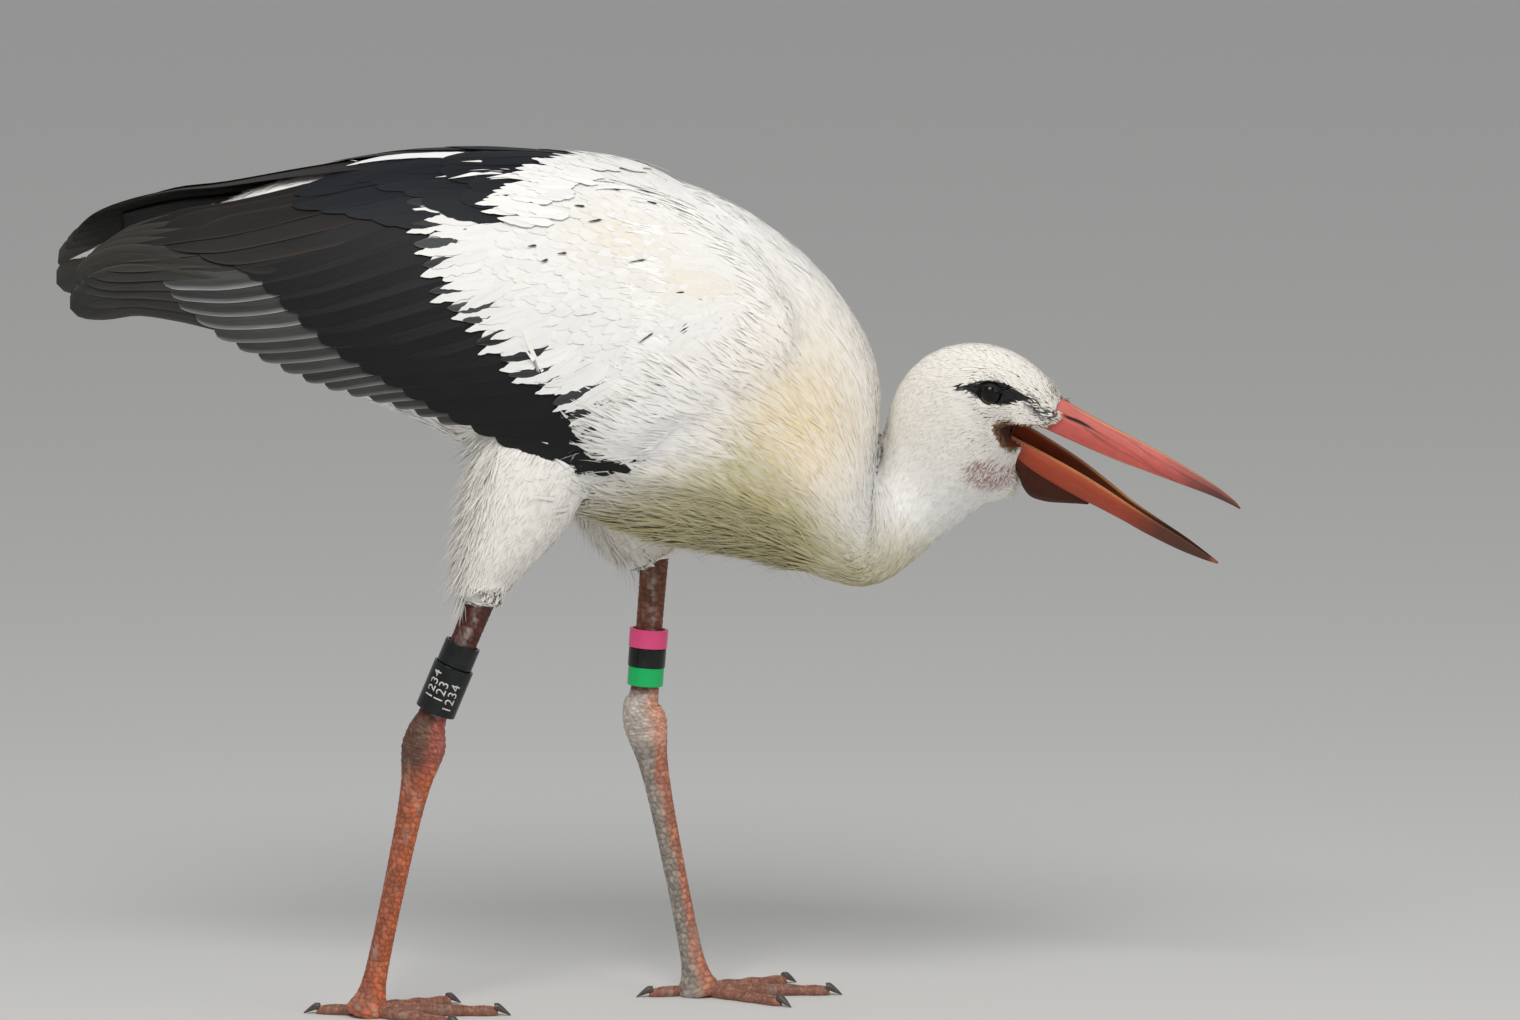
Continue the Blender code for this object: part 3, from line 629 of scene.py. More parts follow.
EYE_ROWS, EYE_AROUND = 36, 56
CORNEA = 0.35  # mm that it stands out
PUPIL, IRIS = 0.36, 0.66  # radians from the eye's axis
PUPIL_BLACK, IRIS_BROWN, LID_BLACK = (0.0025, 0.002, 0.002), (0.011, 0.0055, 0.003), (0.007, 0.0065, 0.007)
LID_OPENING = (0.9, 1.06)  # radians from the axis to the rim, above and below, then fore and aft


def tube_faces(rows, around, closed=True):
    """Corner numbers of a grid's faces, rows by around, joined at its side edge if closed."""
    r = np.arange(rows - 1)[:, None]
    k = np.arange(around if closed else around - 1)[None]
    nxt = (k + 1) % around
    corners = r * around + k, r * around + nxt, (r + 1) * around + nxt, (r + 1) * around + k
    return np.stack(corners, -1).reshape(-1, 4)


def end_faces(rows, around, first, last):
    """Triangles from the points first and last to a tube's first and last rings."""
    k, nxt = np.arange(around), (np.arange(around) + 1) % around
    start = (rows - 1) * around
    one = np.stack([np.full(around, first), nxt, k], 1)
    return np.concatenate([one, np.stack([np.full(around, last), start + k, start + nxt], 1)])


def capped(grid, flip=False):
    """A grid of rows of closed rings, with a point added at the middle of each end ring.
    Returns points, quads and triangles."""
    rows, around = grid.shape[:2]
    points = np.vstack([grid.reshape(-1, 3), grid[0].mean(0), grid[-1].mean(0)])
    quads, ends = tube_faces(rows, around), end_faces(rows, around, rows * around, rows * around + 1)
    if flip:
        quads, ends = quads[:, ::-1], ends[:, ::-1]
    return points, quads, ends


def add_tube(name, grid, material, slot, replaced=(), colour=None, flip=False):
    """add_piece for a grid of closed rings with capped ends. colour is given for the grid."""
    points, quads, ends = capped(grid, flip)
    if colour is not None:
        colour = np.vstack([colour, colour[:1], colour[-1:]])
    return add_piece(name, points, [quads, ends], material, slot, replaced, colour)


def eye_axes(side):
    """Outward axis of an eye and two directions square to it, in the head's frame."""
    axis = unit(np.array((0.1, side, 0.06)))
    ahead = unit(np.array((1.0, 0, 0)) - axis * axis[0])
    return axis, ahead, np.cross(ahead, axis) * -side


eye = Finish("wet_eye", {
    "Roughness": 0.04, "IOR": 1.33, "Coat Weight": 0.12, "Specular IOR Level": 0.35, "Coat Roughness": 0.02,
})
iris_fleck = eye.noise(900.0)
eye_material = eye.feed({
    "Base Color": eye.shade(eye.attribute("tint"), iris_fleck * 0.7 + 0.65),
})
lid = Finish("bare_face_skin", {"Roughness": 0.5, "Specular IOR Level": 0.25})
lid_material = lid.grained(lid.noise(900.0, 4.0), 0.8, 0.6, 0.0004, 0.8)
for name, side in (("right", -1), ("left", 1)):
    low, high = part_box("eye_" + name)
    ball_radius = (high.y - low.y) / 2 / MM
    centre = to_head(box_middle("eye_" + name)[None])[0]
    axis, ahead, above = eye_axes(side)
    q = round_angles(EYE_AROUND)[..., None]
    turned = np.cos(q) * ahead + np.sin(q) * above
    # ball: centre + radius * (cos p * axis + sin p * (cos q * ahead + sin q * above)), with a
    # cornea that rises 0.35 mm round the axis
    p = np.linspace(0.02, math.pi - 0.02, EYE_ROWS)[:, None, None]
    radius = ball_radius - CORNEA + CORNEA * np.exp(-((p / 0.6) ** 2))
    ball = centre + radius * (np.cos(p) * axis + np.sin(p) * turned)
    angle = np.repeat(p.ravel(), EYE_AROUND)
    iris_share = ease(PUPIL, PUPIL + 0.04, angle) * ease(IRIS + 0.08, IRIS, angle)
    tint = blend(plain(PUPIL_BLACK, len(angle)), IRIS_BROWN, iris_share)
    add_tube("eyeball_" + name, from_head(ball), eye_material, "eye", ("eye_" + name,), tint, side < 0)
    # lids: across the rim the section is a half circle from under the lid to the face, at
    # opening(q) + width * t from the axis, over the ball by height * sin(pi t)^0.6 - 0.2 - 1.6 t^3
    t = steps(12)[:, None, None]
    opening = LID_OPENING[0] + (LID_OPENING[1] - LID_OPENING[0]) * np.abs(np.cos(q)) ** 1.5
    corner = np.abs(np.cos(q)) ** 12
    p = opening + 0.12 * corner + 0.5 * t
    radius = ball_radius - 0.2 + (0.75 + 0.4 * corner) * np.sin(math.pi * t) ** 0.6 - 1.6 * t**3
    radius = radius + 0.1 * np.sin(t * 14) * t
    lids = centre + radius * (np.cos(p) * axis + np.sin(p) * turned)
    under = centre + (ball_radius - 2.2) * unit(lids[::-1] - centre)
    rings = from_head(np.concatenate([lids, under, lids[:1]]))
    quads = tube_faces(len(rings), EYE_AROUND)
    quads = quads[:, ::-1] if side < 0 else quads
    tint = plain(LID_BLACK, len(rings) * EYE_AROUND)
    add_piece("eyelids_" + name, rings.reshape(-1, 3), [quads], lid_material, "eye", tint=tint)

# ---------------------------------------------------------------- bill
# Two horny sheaths over bone. The upper one is ridged, with a slit nostril that runs on as a
# groove; the lower one is a trough of two thin edges. Red, worn to purple-grey at the tips.

# Upper bill in the head's frame: ridge (along, up), cutting edge (along, up), half width.
BILL_UPPER = (
    (50, 39, 34, 17.5, 12.6), (60, 39.4, 48, 18.4, 12.6), (83, 38.6, 74, 19.6, 11.6),
    (112, 39, 106, 21.2, 9.8), (139, 39, 135, 24.4, 8), (165, 37.6, 162, 27.2, 6),
    (186, 35.6, 184, 29.2, 4), (201, 32.4, 200, 29.2, 2.2), (208.5, 29.2, 208, 28.2, 0.7),
)
# Lower bill: along, edge height, keel height, half width, trough depth share.
BILL_LOWER = (
    (34, -2.6, -27, 12.8, 0.7), (57, -3.2, -31, 11.8, 0.72), (88, -5.2, -31, 9.8, 0.7),
    (112, -8.6, -29.6, 7.4, 0.62), (137, -13, -29.6, 4.8, 0.5), (158, -15.6, -30.4, 3.8, 0.4),
    (184, -18.2, -29.6, 2.8, 0.3), (204, -21.4, -27.2, 1.8, 0.25), (215.5, -23.6, -24.8, 0.8, 0.2),
)
BILL_ROWS, UPPER_AROUND, LOWER_AROUND = 190, 81, 49
BILL_WALL = 2.6  # mm, sideways thickness of a lower edge at its root
NOSTRIL = (
    (57, 34.4, 0.0), (62, 33.6, 0.8), (72, 34.3, 1.0), (84, 34.2, 0.55), (103, 32.8, 0.3), (122, 31.6, 0.0)
)
UPPER_RED, LOWER_RED = (0.57, 0.11, 0.09), (0.46, 0.068, 0.024)
TIP_GREY, EDGE_HIGHLIGHT, TROUGH_BROWN = (0.095, 0.04, 0.036), (0.7, 0.38, 0.14), (0.17, 0.04, 0.018)
SMUDGE = (0.13, 0.04, 0.038)


def ripple(along, around, seed):
    """Slow uneven waves over a surface, from -1 to 1: four sines of mixed lengths."""
    total = np.zeros(np.broadcast(along, around).shape)
    for k in range(4):
        wave = np.sin(along * (0.05 + 0.09 * k) + around * (1 + 1.7 * k) + seed * (3.1 + k))
        total = total + wave / (k + 1.5)
    return total / 1.7


def bill_finish(name):
    """Horn: the tint, scuffed along the bill, with fine length-wise lines and small pits."""
    horn = Finish(name, {"Specular IOR Level": 0.35})
    lines = horn.noise((14.0, 420.0, 420.0), 4.0, 0.6, horn.attribute("flow", "Vector"))
    blotch = horn.noise(130.0, 3.0)
    pits = horn.cells(700.0, "F1")
    worn = blotch * 0.34 + lines * 0.4 + 0.63
    return horn.feed({
        "Base Color": horn.shade(horn.attribute("tint"), worn),
        "Roughness": blotch * 0.3 + 0.3,
        "Normal": horn.bump(lines * 0.8 + pits.step(0.0, 0.35) * 0.25, 0.00035, 0.7),
    })


def vector_attribute(made, label, values):
    """Gives a piece a vector attribute, one row a point."""
    layer = made.data.attributes.new(label, "FLOAT_VECTOR", "POINT")
    layer.data.foreach_set("vector", in_a_row(values))
    return made


bill_material = bill_finish("red_horn")


def add_horn(node, grid, colour):
    """One half of the bill from its grid in the head's frame, which its lines run along."""
    made = add_tube(node + "_horn", from_head(grid), bill_material, "bill_red", (node,), colour)
    vector_attribute(made, "flow", np.vstack([grid.reshape(-1, 3), grid[0].mean(0), grid[-1].mean(0)]) * MM)


rows = smooth_rows(BILL_UPPER, BILL_ROWS)
ridge, edge, half = rows[:, 0:2], rows[:, 2:4], rows[:, 4]
# upper bill: edge + (ridge - edge) * cos a + half width * sin a, a from -90 to 90 degrees, its
# ridge a little pinched; below it the palate rises between the cutting edges as cos^2
a = np.linspace(-math.pi / 2, math.pi / 2, UPPER_AROUND)
rise, aside = np.cos(a) ** 0.92, np.sin(a) * (1 - 0.1 * np.cos(a) ** 2)
b = np.linspace(math.pi / 2, -math.pi / 2, 31)[1:-1]
palate = np.cos(b) ** 2 * 0.34
rise, aside = np.append(rise, palate), np.append(aside, np.sin(b) * 0.93)
lift = (ridge - edge)[:, None]
grid = np.zeros((BILL_ROWS, len(rise), 3))
grid[..., 0] = edge[:, :1] + lift[..., 0] * rise
grid[..., 2] = edge[:, 1:] + lift[..., 1] * rise
grid[..., 1] = half[:, None] * aside
outer = np.arange(len(rise)) < UPPER_AROUND
line = smooth_rows(NOSTRIL, 60)
groove_up = np.interp(grid[..., 0], line[:, 0], line[:, 1])
groove_deep = np.interp(grid[..., 0], line[:, 0], line[:, 2], left=0, right=0)
off_line = (grid[..., 2] - groove_up) / (0.8 + 0.9 * groove_deep)
slit = np.exp(-(off_line**2) * 2.2) * groove_deep * outer
grid[..., 1] *= 1 - 0.2 * slit
grid[..., 2] -= 0.25 * slit
grid[..., 2] += 0.1 * ripple(grid[..., 0], grid[..., 1] * 0.3, 1.0) * (rise > 0.05) * outer
along = grid[..., 0]
rise = np.broadcast_to(rise, along.shape)
tip = ease(126, 196, along + 9 * ripple(along, grid[..., 1] * 0.4, 2.0))
colour = blend(plain(UPPER_RED, along.size), (0.6, 0.19, 0.16), 0.45 * ease(0.45, 0.9, rise))
smudge = ripple(along * 1.1, grid[..., 2] * 0.9, 6.0) + 0.5 * ripple(along * 5, grid[..., 2] * 1.6, 8.0)
smudge = (
    ease(0.35, 0.9, smudge) * ease(48, 75, along) * (0.35 + 0.65 * ease(90, 150, along))
)
below_slit = np.exp(-(((grid[..., 2] - 31.5 + 0.03 * (along - 90)) / 2.0) ** 2)) * ease(60, 80, along)
below_slit = below_slit * ease(150, 118, along)
below_slit = below_slit * ease(-0.2, 0.6, ripple(along * 3.5, grid[..., 2], 1.5))
smudge = np.maximum(smudge, below_slit)
colour = blend(colour, SMUDGE, 0.75 * smudge * outer)
colour = blend(colour, TIP_GREY, tip * (0.75 + 0.22 * (rise < 0.75)))
# a painted highlight along the ridge, and a fainter painted highlight along the cutting edge below
culmen_highlight = ease(0.99, 0.9995, rise) * ease(52, 75, along)
colour = blend(colour, EDGE_HIGHLIGHT, 0.65 * culmen_highlight)
edge_highlight = ease(0.09, 0.02, rise) * outer * ease(60, 120, along)
colour = blend(colour, EDGE_HIGHLIGHT, 0.4 * edge_highlight)
colour = blend(colour, TROUGH_BROWN, 0.9 * ~outer + 0 * along)
# the slit is painted near black: painted shade of the nostril's opening
colour = blend(colour, (0.02, 0.008, 0.008), ease(0.25, 0.7, slit))
add_horn("bill_upper", grid, colour)

rows = smooth_rows(BILL_LOWER, BILL_ROWS)
along, edge, keel, half, depth_share = (rows[:, k : k + 1] for k in range(5))
# lower bill: outside (half * sin a, edge - (edge - keel) * cos a), and inside it the same with
# the wall off its width and a share of its depth
a = np.linspace(-math.pi / 2, math.pi / 2, LOWER_AROUND)[None]
wall = np.minimum(BILL_WALL, half * 0.4)
outside_y, outside_z = half * np.sin(a), edge - (edge - keel) * np.cos(a)
inside_y = (half - wall) * np.sin(a[:, ::-1])
inside_z = edge - (edge - keel) * depth_share * np.cos(a[:, ::-1])
sides_z = np.hstack([outside_z, inside_z])
grid = np.zeros((BILL_ROWS, 2 * LOWER_AROUND, 3))
grid[..., 0] = along
grid[..., 1] = np.hstack([outside_y, inside_y])
grid[..., 2] = sides_z + np.hstack([a * 0, 0.45 * (np.abs(np.sin(a)) > 0.97)])
inner = np.broadcast_to(np.arange(2 * LOWER_AROUND) >= LOWER_AROUND, grid.shape[:2])
fold = np.exp(-((sides_z - edge + 2.4) ** 2) / 0.5) * ~inner
grid[..., 1] *= 1 - 0.025 * fold
length = np.broadcast_to(along, grid.shape[:2])
# the lower bill's thin edges carry a painted highlight
lip_highlight = ease(1.7, 0.4, edge - sides_z)
tip = ease(128, 176, length + 8 * ripple(length, grid[..., 1] * 0.5, 5.0))
uneven = ripple(length, grid[..., 2] * 0.2, 3.0) * 0.5 + 0.5
near_top = ease(7.0, 1.5, edge - grid[..., 2]) * ~inner
colour = plain(LOWER_RED, length.size)
for tone, share in (
    ((0.34, 0.045, 0.016), 0.6 * uneven),
    (TROUGH_BROWN, inner * 0.95),
    ((0.42, 0.075, 0.028), inner * ease(105, 45, length) * 0.9),
    ((0.66, 0.155, 0.075), 0.25 * near_top * ease(150, 110, length)),
    (EDGE_HIGHLIGHT, 0.8 * lip_highlight * (0.15 + 0.85 * inner) * ease(200, 130, length)),
    ((0.065, 0.03, 0.018), tip * 0.9),
    ((0.42, 0.13, 0.05), ease(206, 212, length) * 0.7),
):
    colour = blend(colour, tone, share)
add_horn("bill_lower", grid, colour)

# ---------------------------------------------------------------- gape and throat
# The bare throat skin hangs as a dark red-brown keel under the lower bill, and wrinkled folds
# of the same skin join the two bills at the corner of the mouth.

# Throat skin in the head's frame: along, top, bottom, half width.
POUCH = (
    (41, -10, -24, 10.6), (53, -13, -35, 10.4), (62, -16, -44.5, 10), (71, -17.5, -48.5, 9.4),
    (83, -19.5, -45.5, 7.6), (97, -22, -38.5, 5), (110, -26, -31.5, 2),
)
POUCH_RED = (0.06, 0.013, 0.005)
rows = smooth_rows(POUCH, 90)
along, middle = rows[:, :1], (rows[:, 1:2] + rows[:, 2:3]) / 2
tall, half = (rows[:, 1:2] - rows[:, 2:3]) / 2, rows[:, 3:4]
a = round_angles(64)
# throat: (half width * sin a, middle + tall * cos a), with soft folds that run along it
folds = 0.22 * np.sin(a * 9 + along * 0.05) * np.sin(along * 0.11 + 2) + 0.15 * ripple(along * 3, a * 2, 4.0)
grid = np.stack([along + a * 0, (half + folds) * np.sin(a), middle + (tall - 0.2 + folds) * np.cos(a)], -1)
colour = blend(plain(POUCH_RED, folds.size), (0.17, 0.045, 0.022), ease(60, 42, grid[..., 0]) * 0.7)
pouch = Finish("bare_throat_skin", {"Roughness": 0.5, "Specular IOR Level": 0.2})
crease = pouch.noise(260.0, 6.0, 0.65)
pores = pouch.cells(1100.0)
pouch_material = pouch.grained(crease, 1.1, 0.45, 0.0008, 0.7, crease + pores.step(0.0, 0.2) * 0.3)
add_tube("throat_skin", from_head(grid), pouch_material, "throat_skin", ("throat_pouch",), colour, True)

# folds: three ridges side by side round each corner of the mouth, laid on the skin. Each is a
# closed tube along the corner's line moved back by 0, 2.1 and 4.2 mm, uneven in size.
FOLD_LINE = (
    (45, 23.2), (33, 20.0), (23.5, 16.8), (18.6, 13.2), (20.2, 9.0), (26, 4.6), (33, -0.8), (37, -4.6)
)
FOLDS = ((0.0, 1.0, (0.3, 0.11, 0.05)), (2.1, 1.1, (0.12, 0.07, 0.035)), (4.2, 0.9, (0.08, 0.052, 0.03)))


def spokes(angle, first, second):
    """cos angle * first + sin angle * second, for each angle."""
    return np.cos(angle)[..., None] * first + np.sin(angle)[..., None] * second


def drape(points, height):
    """The skin's nearest place to each point, moved straight out by height, by a Shrinkwrap."""
    mesh = bpy.data.meshes.new("draped")
    mesh.vertices.add(len(points))
    mesh.vertices.foreach_set("co", in_a_row(points))
    cloud = new_object("draped", mesh)
    wrap = cloud.modifiers.new("wrap", "SHRINKWRAP")
    wrap.target, wrap.offset = skin, height
    wrap.wrap_method, wrap.wrap_mode = "NEAREST_SURFACEPOINT", "ABOVE_SURFACE"
    graph = bpy.context.evaluated_depsgraph_get()
    result = np.empty(len(points) * 3, np.float32)
    cloud.evaluated_get(graph).data.vertices.foreach_get("co", result)
    bpy.data.objects.remove(cloud)
    return result.reshape(-1, 3).astype(float)


fold_skin = Finish("gape_skin", {"Roughness": 0.45, "Specular IOR Level": 0.3})
fold_material = fold_skin.grained(fold_skin.noise(800.0, 5.0, 0.65), 1.1, 0.45, 0.0005, 0.8)
for name, side in (("right", -1), ("left", 1)):
    for number, (back, size, tone) in enumerate(FOLDS):
        line = smooth_rows(FOLD_LINE, 120)
        t = steps(120)
        run = unit(np.gradient(line, axis=0))
        line = line + np.stack([run[:, 1], -run[:, 0]], 1) * (-back + 0.25 * np.sin(t * 31 + number))[:, None]
        guess = from_head(np.column_stack([line[:, 0], np.full(120, side * 40.0), line[:, 1]]))
        middle = to_head(drape(guess, 1.7 * MM))
        middle = averaged(middle, np.stack([np.arange(119), np.arange(1, 120)], 1), 3)
        run = unit(np.gradient(middle, axis=0))
        out = unit(np.cross(run, np.cross(np.array((0.0, side, 0.0)), run)))
        across = np.cross(run, out)
        taper = np.minimum(1, np.minimum(t, 1 - t) * 9) ** 0.6 + 0.02
        thick = size * taper * (1 + 0.22 * np.sin(t * 47 + 2 * number) + 0.12 * np.sin(t * 90))
        a = round_angles(14)
        grid = middle[:, None] + thick[:, None, None] * spokes(a, out[:, None], across[:, None])
        shade_along = 0.75 + 0.25 * np.sin(t * 38 + 1.7 * number)[:, None] + 0 * a
        colour = np.array(tone) * shade_along.reshape(-1, 1)
        label = f"gape_fold_{name}_{number + 1}"
        add_tube(label, from_head(grid), fold_material, "throat_skin", colour=colour)

# ---------------------------------------------------------------- legs and feet
# Bare scaly skin over bone and sinew: brick-like scutes down the shanks and tarsi, finer ones at
# the ankles, crosswise plates over the toes. Maroon above, red below, chalky where it is dirty.
# Each toe ends in a short blunt claw of dark horn.

# From inside the thigh to the ankle: x, y, z, half depth, half width, mm.
SHANK_LINES = {
    "right": ((-115, -48.3, 320, 10.5, 9.5), (-137, -46.8, 267, 9.8, 8.6), (-153.5, -45.6, 228, 10.6, 9.2)),
    "left": ((9.2, 48.3, 338, 10.5, 9.5), (4.5, 47, 278, 9.8, 8.6), (0.9, 46, 230, 10.6, 9.2)),
}
ANKLES = {"right": (-160.5, -45, 206), "left": (0.5, 45.5, 210)}
FEET = {"right": (-204, -43, 0), "left": (42, 43, 0)}
# The ankle and tarsus: share of the way from ankle to foot, half depth, half width, mm.
TARSUS_ROWS = (
    (-0.04, 14.0, 11.4), (0.02, 16.2, 12.2), (0.08, 14.3, 10.8), (0.16, 11.1, 8.4),
    (0.32, 8.9, 6.9), (0.62, 7.9, 6.2), (0.84, 8.5, 6.8), (0.92, 10.8, 9.5),
    (0.955, 14.2, 13.2), (0.98, 16.8, 16.4), (0.997, 16.0, 15.8),
)
# Toes: angle out, length, half width at root and end, mm; then knuckles.
TOES = {
    "inner": (-38, 62, 5.6, 3.9, 3), "middle": (0, 82, 6.0, 4.1, 4), "outer": (37, 66, 5.6, 3.9, 3),
    "hind": (192, 24, 5.0, 3.6, 1)
}
TOE_FROM, TOE_AT, CLAW_LONG = 11.0, 15.0, 9.0  # a toe's start and full width from the foot's middle, mm
UP = np.array((0, 0, 1.0))
# Colours of each leg: shank, ankle front, ankle back, tarsus front, tarsus back.
LEG_COLOURS = {
    "right": (
        (0.1, 0.026, 0.016), (0.5, 0.135, 0.095), (0.15, 0.075, 0.05), (0.58, 0.15, 0.062),
        (0.4, 0.12, 0.062)
    ),
    "left": (
        (0.21, 0.072, 0.038), (0.72, 0.36, 0.25), (0.62, 0.54, 0.48), (0.5, 0.2, 0.125),
        (0.33, 0.29, 0.25)
    ),
}
TOE_COLOUR, CHALK, DUSTY_GREY = (0.33, 0.145, 0.095), (0.42, 0.38, 0.34), (0.33, 0.3, 0.28)


def placed(start, *steps):
    """start plus each direction times its grid of distances, given in pairs."""
    for direction, distance in steps:
        start = start + direction * distance[..., None]
    return start


def limb(rows, count, around):
    """A limb as a grid: middle + cos a * depth * front + sin a * width * side, its sections square
    to its line and evenly spaced along it. Returns points, outward directions, distance, angle."""
    fine = smooth_rows(rows, 900)
    length = np.append(0, np.linalg.norm(np.diff(fine[:, :3], axis=0), axis=1).cumsum())
    even = np.linspace(0, length[-1], count)
    fine = np.stack([np.interp(even, length, fine[:, k]) for k in range(5)], 1)
    line = unit(np.gradient(fine[:, :3], axis=0))
    side = unit(np.array((0.0, 1.0, 0.0)) - line * line[:, 1:2])
    front = np.cross(line, side)
    a = round_angles(around)
    reach = (
        (np.cos(a) * fine[:, 3:4])[..., None] * front[:, None]
        + (np.sin(a) * fine[:, 4:5])[..., None] * side[:, None]
    )
    return fine[:, None, :3] + reach, unit(reach), even[:, None] + 0 * a, a + 0 * even[:, None]


def scutes(along, angle, tall, around, seed, stagger=0.5):
    """Scutes laid like bricks, along / tall by angle * around / turn, both bent by sines. Returns
    their height (1 - |u|^4) (1 - |v|^4), and for each a random number from 0 to 1."""
    v = along / tall + 0.3 * np.sin(2 * angle + along * 0.11 + seed) + 0.12 * np.sin(5 * angle + along * 0.9)
    row = np.floor(v)
    u = angle / (2 * math.pi) * around + stagger * (row % 2)
    u = u + 0.22 * np.sin(along * 0.5 + 2 * angle + seed) + 0.5
    cell = np.floor(u)
    own = np.sin(row * 12.9898 + (cell % around) * 78.233 + seed) * 43758.5453
    height = (1 - np.abs(2 * (u - cell) - 1) ** 4) * (1 - np.abs(2 * (v - row) - 1) ** 4)
    return height, own - np.floor(own)


leg = Finish("scaly_leg_skin", {
    "Specular IOR Level": 0.35, "Subsurface Weight": 0.06, "Subsurface Scale": 0.002,
})
leg_grain = leg.noise(520.0, 5.0, 0.6)
leg_blotch = leg.noise((90.0, 90.0, 34.0), 4.0, 0.6)
leg_dirty = leg.mixed(leg_blotch.step(0.56, 0.74) * 0.5, leg.attribute("tint"), CHALK)
leg_material = leg.feed({
    "Base Color": leg.shade(leg_dirty, leg_grain * 0.8 + 0.6),
    "Roughness": leg_blotch * 0.3 + 0.42,
    "Normal": leg.bump(leg_grain, 0.0004, 0.6),
})
claw = Finish("dark_horn", {"Specular IOR Level": 0.5})
claw_lines = claw.noise(700.0, 4.0)
claw_material = claw.feed({
    "Base Color": claw.mixed(claw_lines, (0.03, 0.022, 0.019), (0.13, 0.1, 0.085)),
    "Roughness": claw_lines * 0.3 + 0.25,
    "Normal": claw.bump(claw_lines, 0.0003, 0.5),
})
for name, side in (("right", -1), ("left", 1)):
    ankle, foot = np.array(ANKLES[name], float), np.array(FEET[name], float)
    rows = (
        SHANK_LINES[name]
        + tuple((*(ankle + (foot - ankle) * s), depth, width) for s, depth, width in TARSUS_ROWS)
    )
    grid, out, along, angle = limb(rows, 420, 72)
    height = grid[..., 2]
    at_ankle = np.exp(-(((height - ankle[2]) / 17) ** 2))
    big, big_own = scutes(along, angle, 4.4, 11, 3.0 + side)
    fine, fine_own = scutes(along, angle, 2.3, 22, 9.0 + side)
    share = ease(0.25, 0.6, at_ankle)
    pillow, own = big * (1 - share) + fine * share, big_own * (1 - share) + fine_own * share
    wrinkle = at_ankle * np.sin(height * 1.15 + 1.4 * np.sin(angle * 2 + 1)) * 0.28
    # the sinew's groove down the back and the two knobs at the sides of the ankle
    groove = (
        0.7 * ease(ankle[2] - 28, ankle[2] - 60, height)
        * np.exp(-(((np.abs(angle - math.pi) - 0.55) / 0.22) ** 2))
    )
    knob = (
        1.3 * np.exp(-(((height - ankle[2]) / 8) ** 2)) * np.exp(-((np.abs(np.sin(angle)) - 1) ** 2) / 0.05)
    )
    grid = grid + out * (0.42 * (pillow - 0.75) + wrinkle - groove + knob)[..., None]
    grid[..., 2] = np.maximum(grid[..., 2], 0.0)
    shank, ankle_front, ankle_back, tarsus_front, tarsus_back = LEG_COLOURS[name]
    facing = ease(-0.25, 0.55, np.cos(angle) + 0.3 * ripple(along, angle, 2.0))
    above = ease(ankle[2] + 14, ankle[2] + 24, height)
    below = ease(ankle[2] - 12, ankle[2] - 30, height)
    colour = blend(plain(ankle_back, height.size), ankle_front, facing)
    tarsus = blend(plain(tarsus_back, height.size), tarsus_front, facing)
    colour = blend(blend(colour, tarsus, below), shank, above)
    streak = np.exp(-(((angle - 4.9 + 0.25 * np.sin(along * 0.06)) / 0.28) ** 2)) * ease(0.3, 0.8, own)
    colour = blend(colour, DUSTY_GREY, 0.65 * streak * above)
    colour = colour * ((0.72 + 0.5 * own**1.5) * (0.5 + 0.55 * pillow)).reshape(-1, 1)
    replaced = ("shank_" + name, "tarsus_" + name)
    add_tube("leg_skin_" + name, from_bird(grid), leg_material, "leg_skin", replaced, colour)

    for toe, (spread, length, root, end, knuckles) in TOES.items():
        turned = math.radians(spread) * side
        ahead = np.array((math.cos(turned), math.sin(turned), 0.0))
        across = np.array((-ahead[1], ahead[0], 0.0))
        # toe: the limb's section with its sole flat on the floor, swollen at each knuckle and
        # closing in a half round at its end
        s = np.linspace(0, 1, int(length * 1.5) + 20)[:, None]
        a = round_angles(44)
        distance = TOE_FROM + (TOE_AT - TOE_FROM + length) * s
        part = np.clip((distance - TOE_AT) / length, 0, 1)
        half = (root + (end - root) * part) * (1 + 0.09 * np.cos(2 * math.pi * (part * knuckles + 0.5)))
        half = half * np.sqrt(np.clip((1.005 - s) / (3.0 / length), 0, 1)) + 0.02
        plate, own = scutes(distance, a, 3.0, 5, 1.0 + spread, 0.0)
        grain_small, _ = scutes(distance, a, 1.9, 14, 4.0 + spread)
        top = ease(-0.1, 0.5, np.cos(a))
        bump = (plate - 0.7) * top * 0.38 + (grain_small - 0.7) * (1 - top) * 0.25
        middle = (root + (end - root) * part) * 0.72 * np.minimum(1, half / end)
        tall = (half * 0.95 + bump) * np.cos(a) + middle
        wide = (half + bump) * np.sin(a)
        grid = placed(foot, (ahead, distance), (across, wide), (UP, np.maximum(tall, 0)))
        shade = (0.7 + 0.5 * own) * (0.55 + 0.5 * (plate * top + grain_small * (1 - top)))
        colour = plain(TOE_COLOUR, tall.size) * shade.reshape(-1, 1)
        node = f"{name}_{toe}"
        replaced = ("toe_" + node,)
        add_tube("toe_skin_" + node, from_bird(grid), leg_material, "leg_skin", replaced, colour, True)

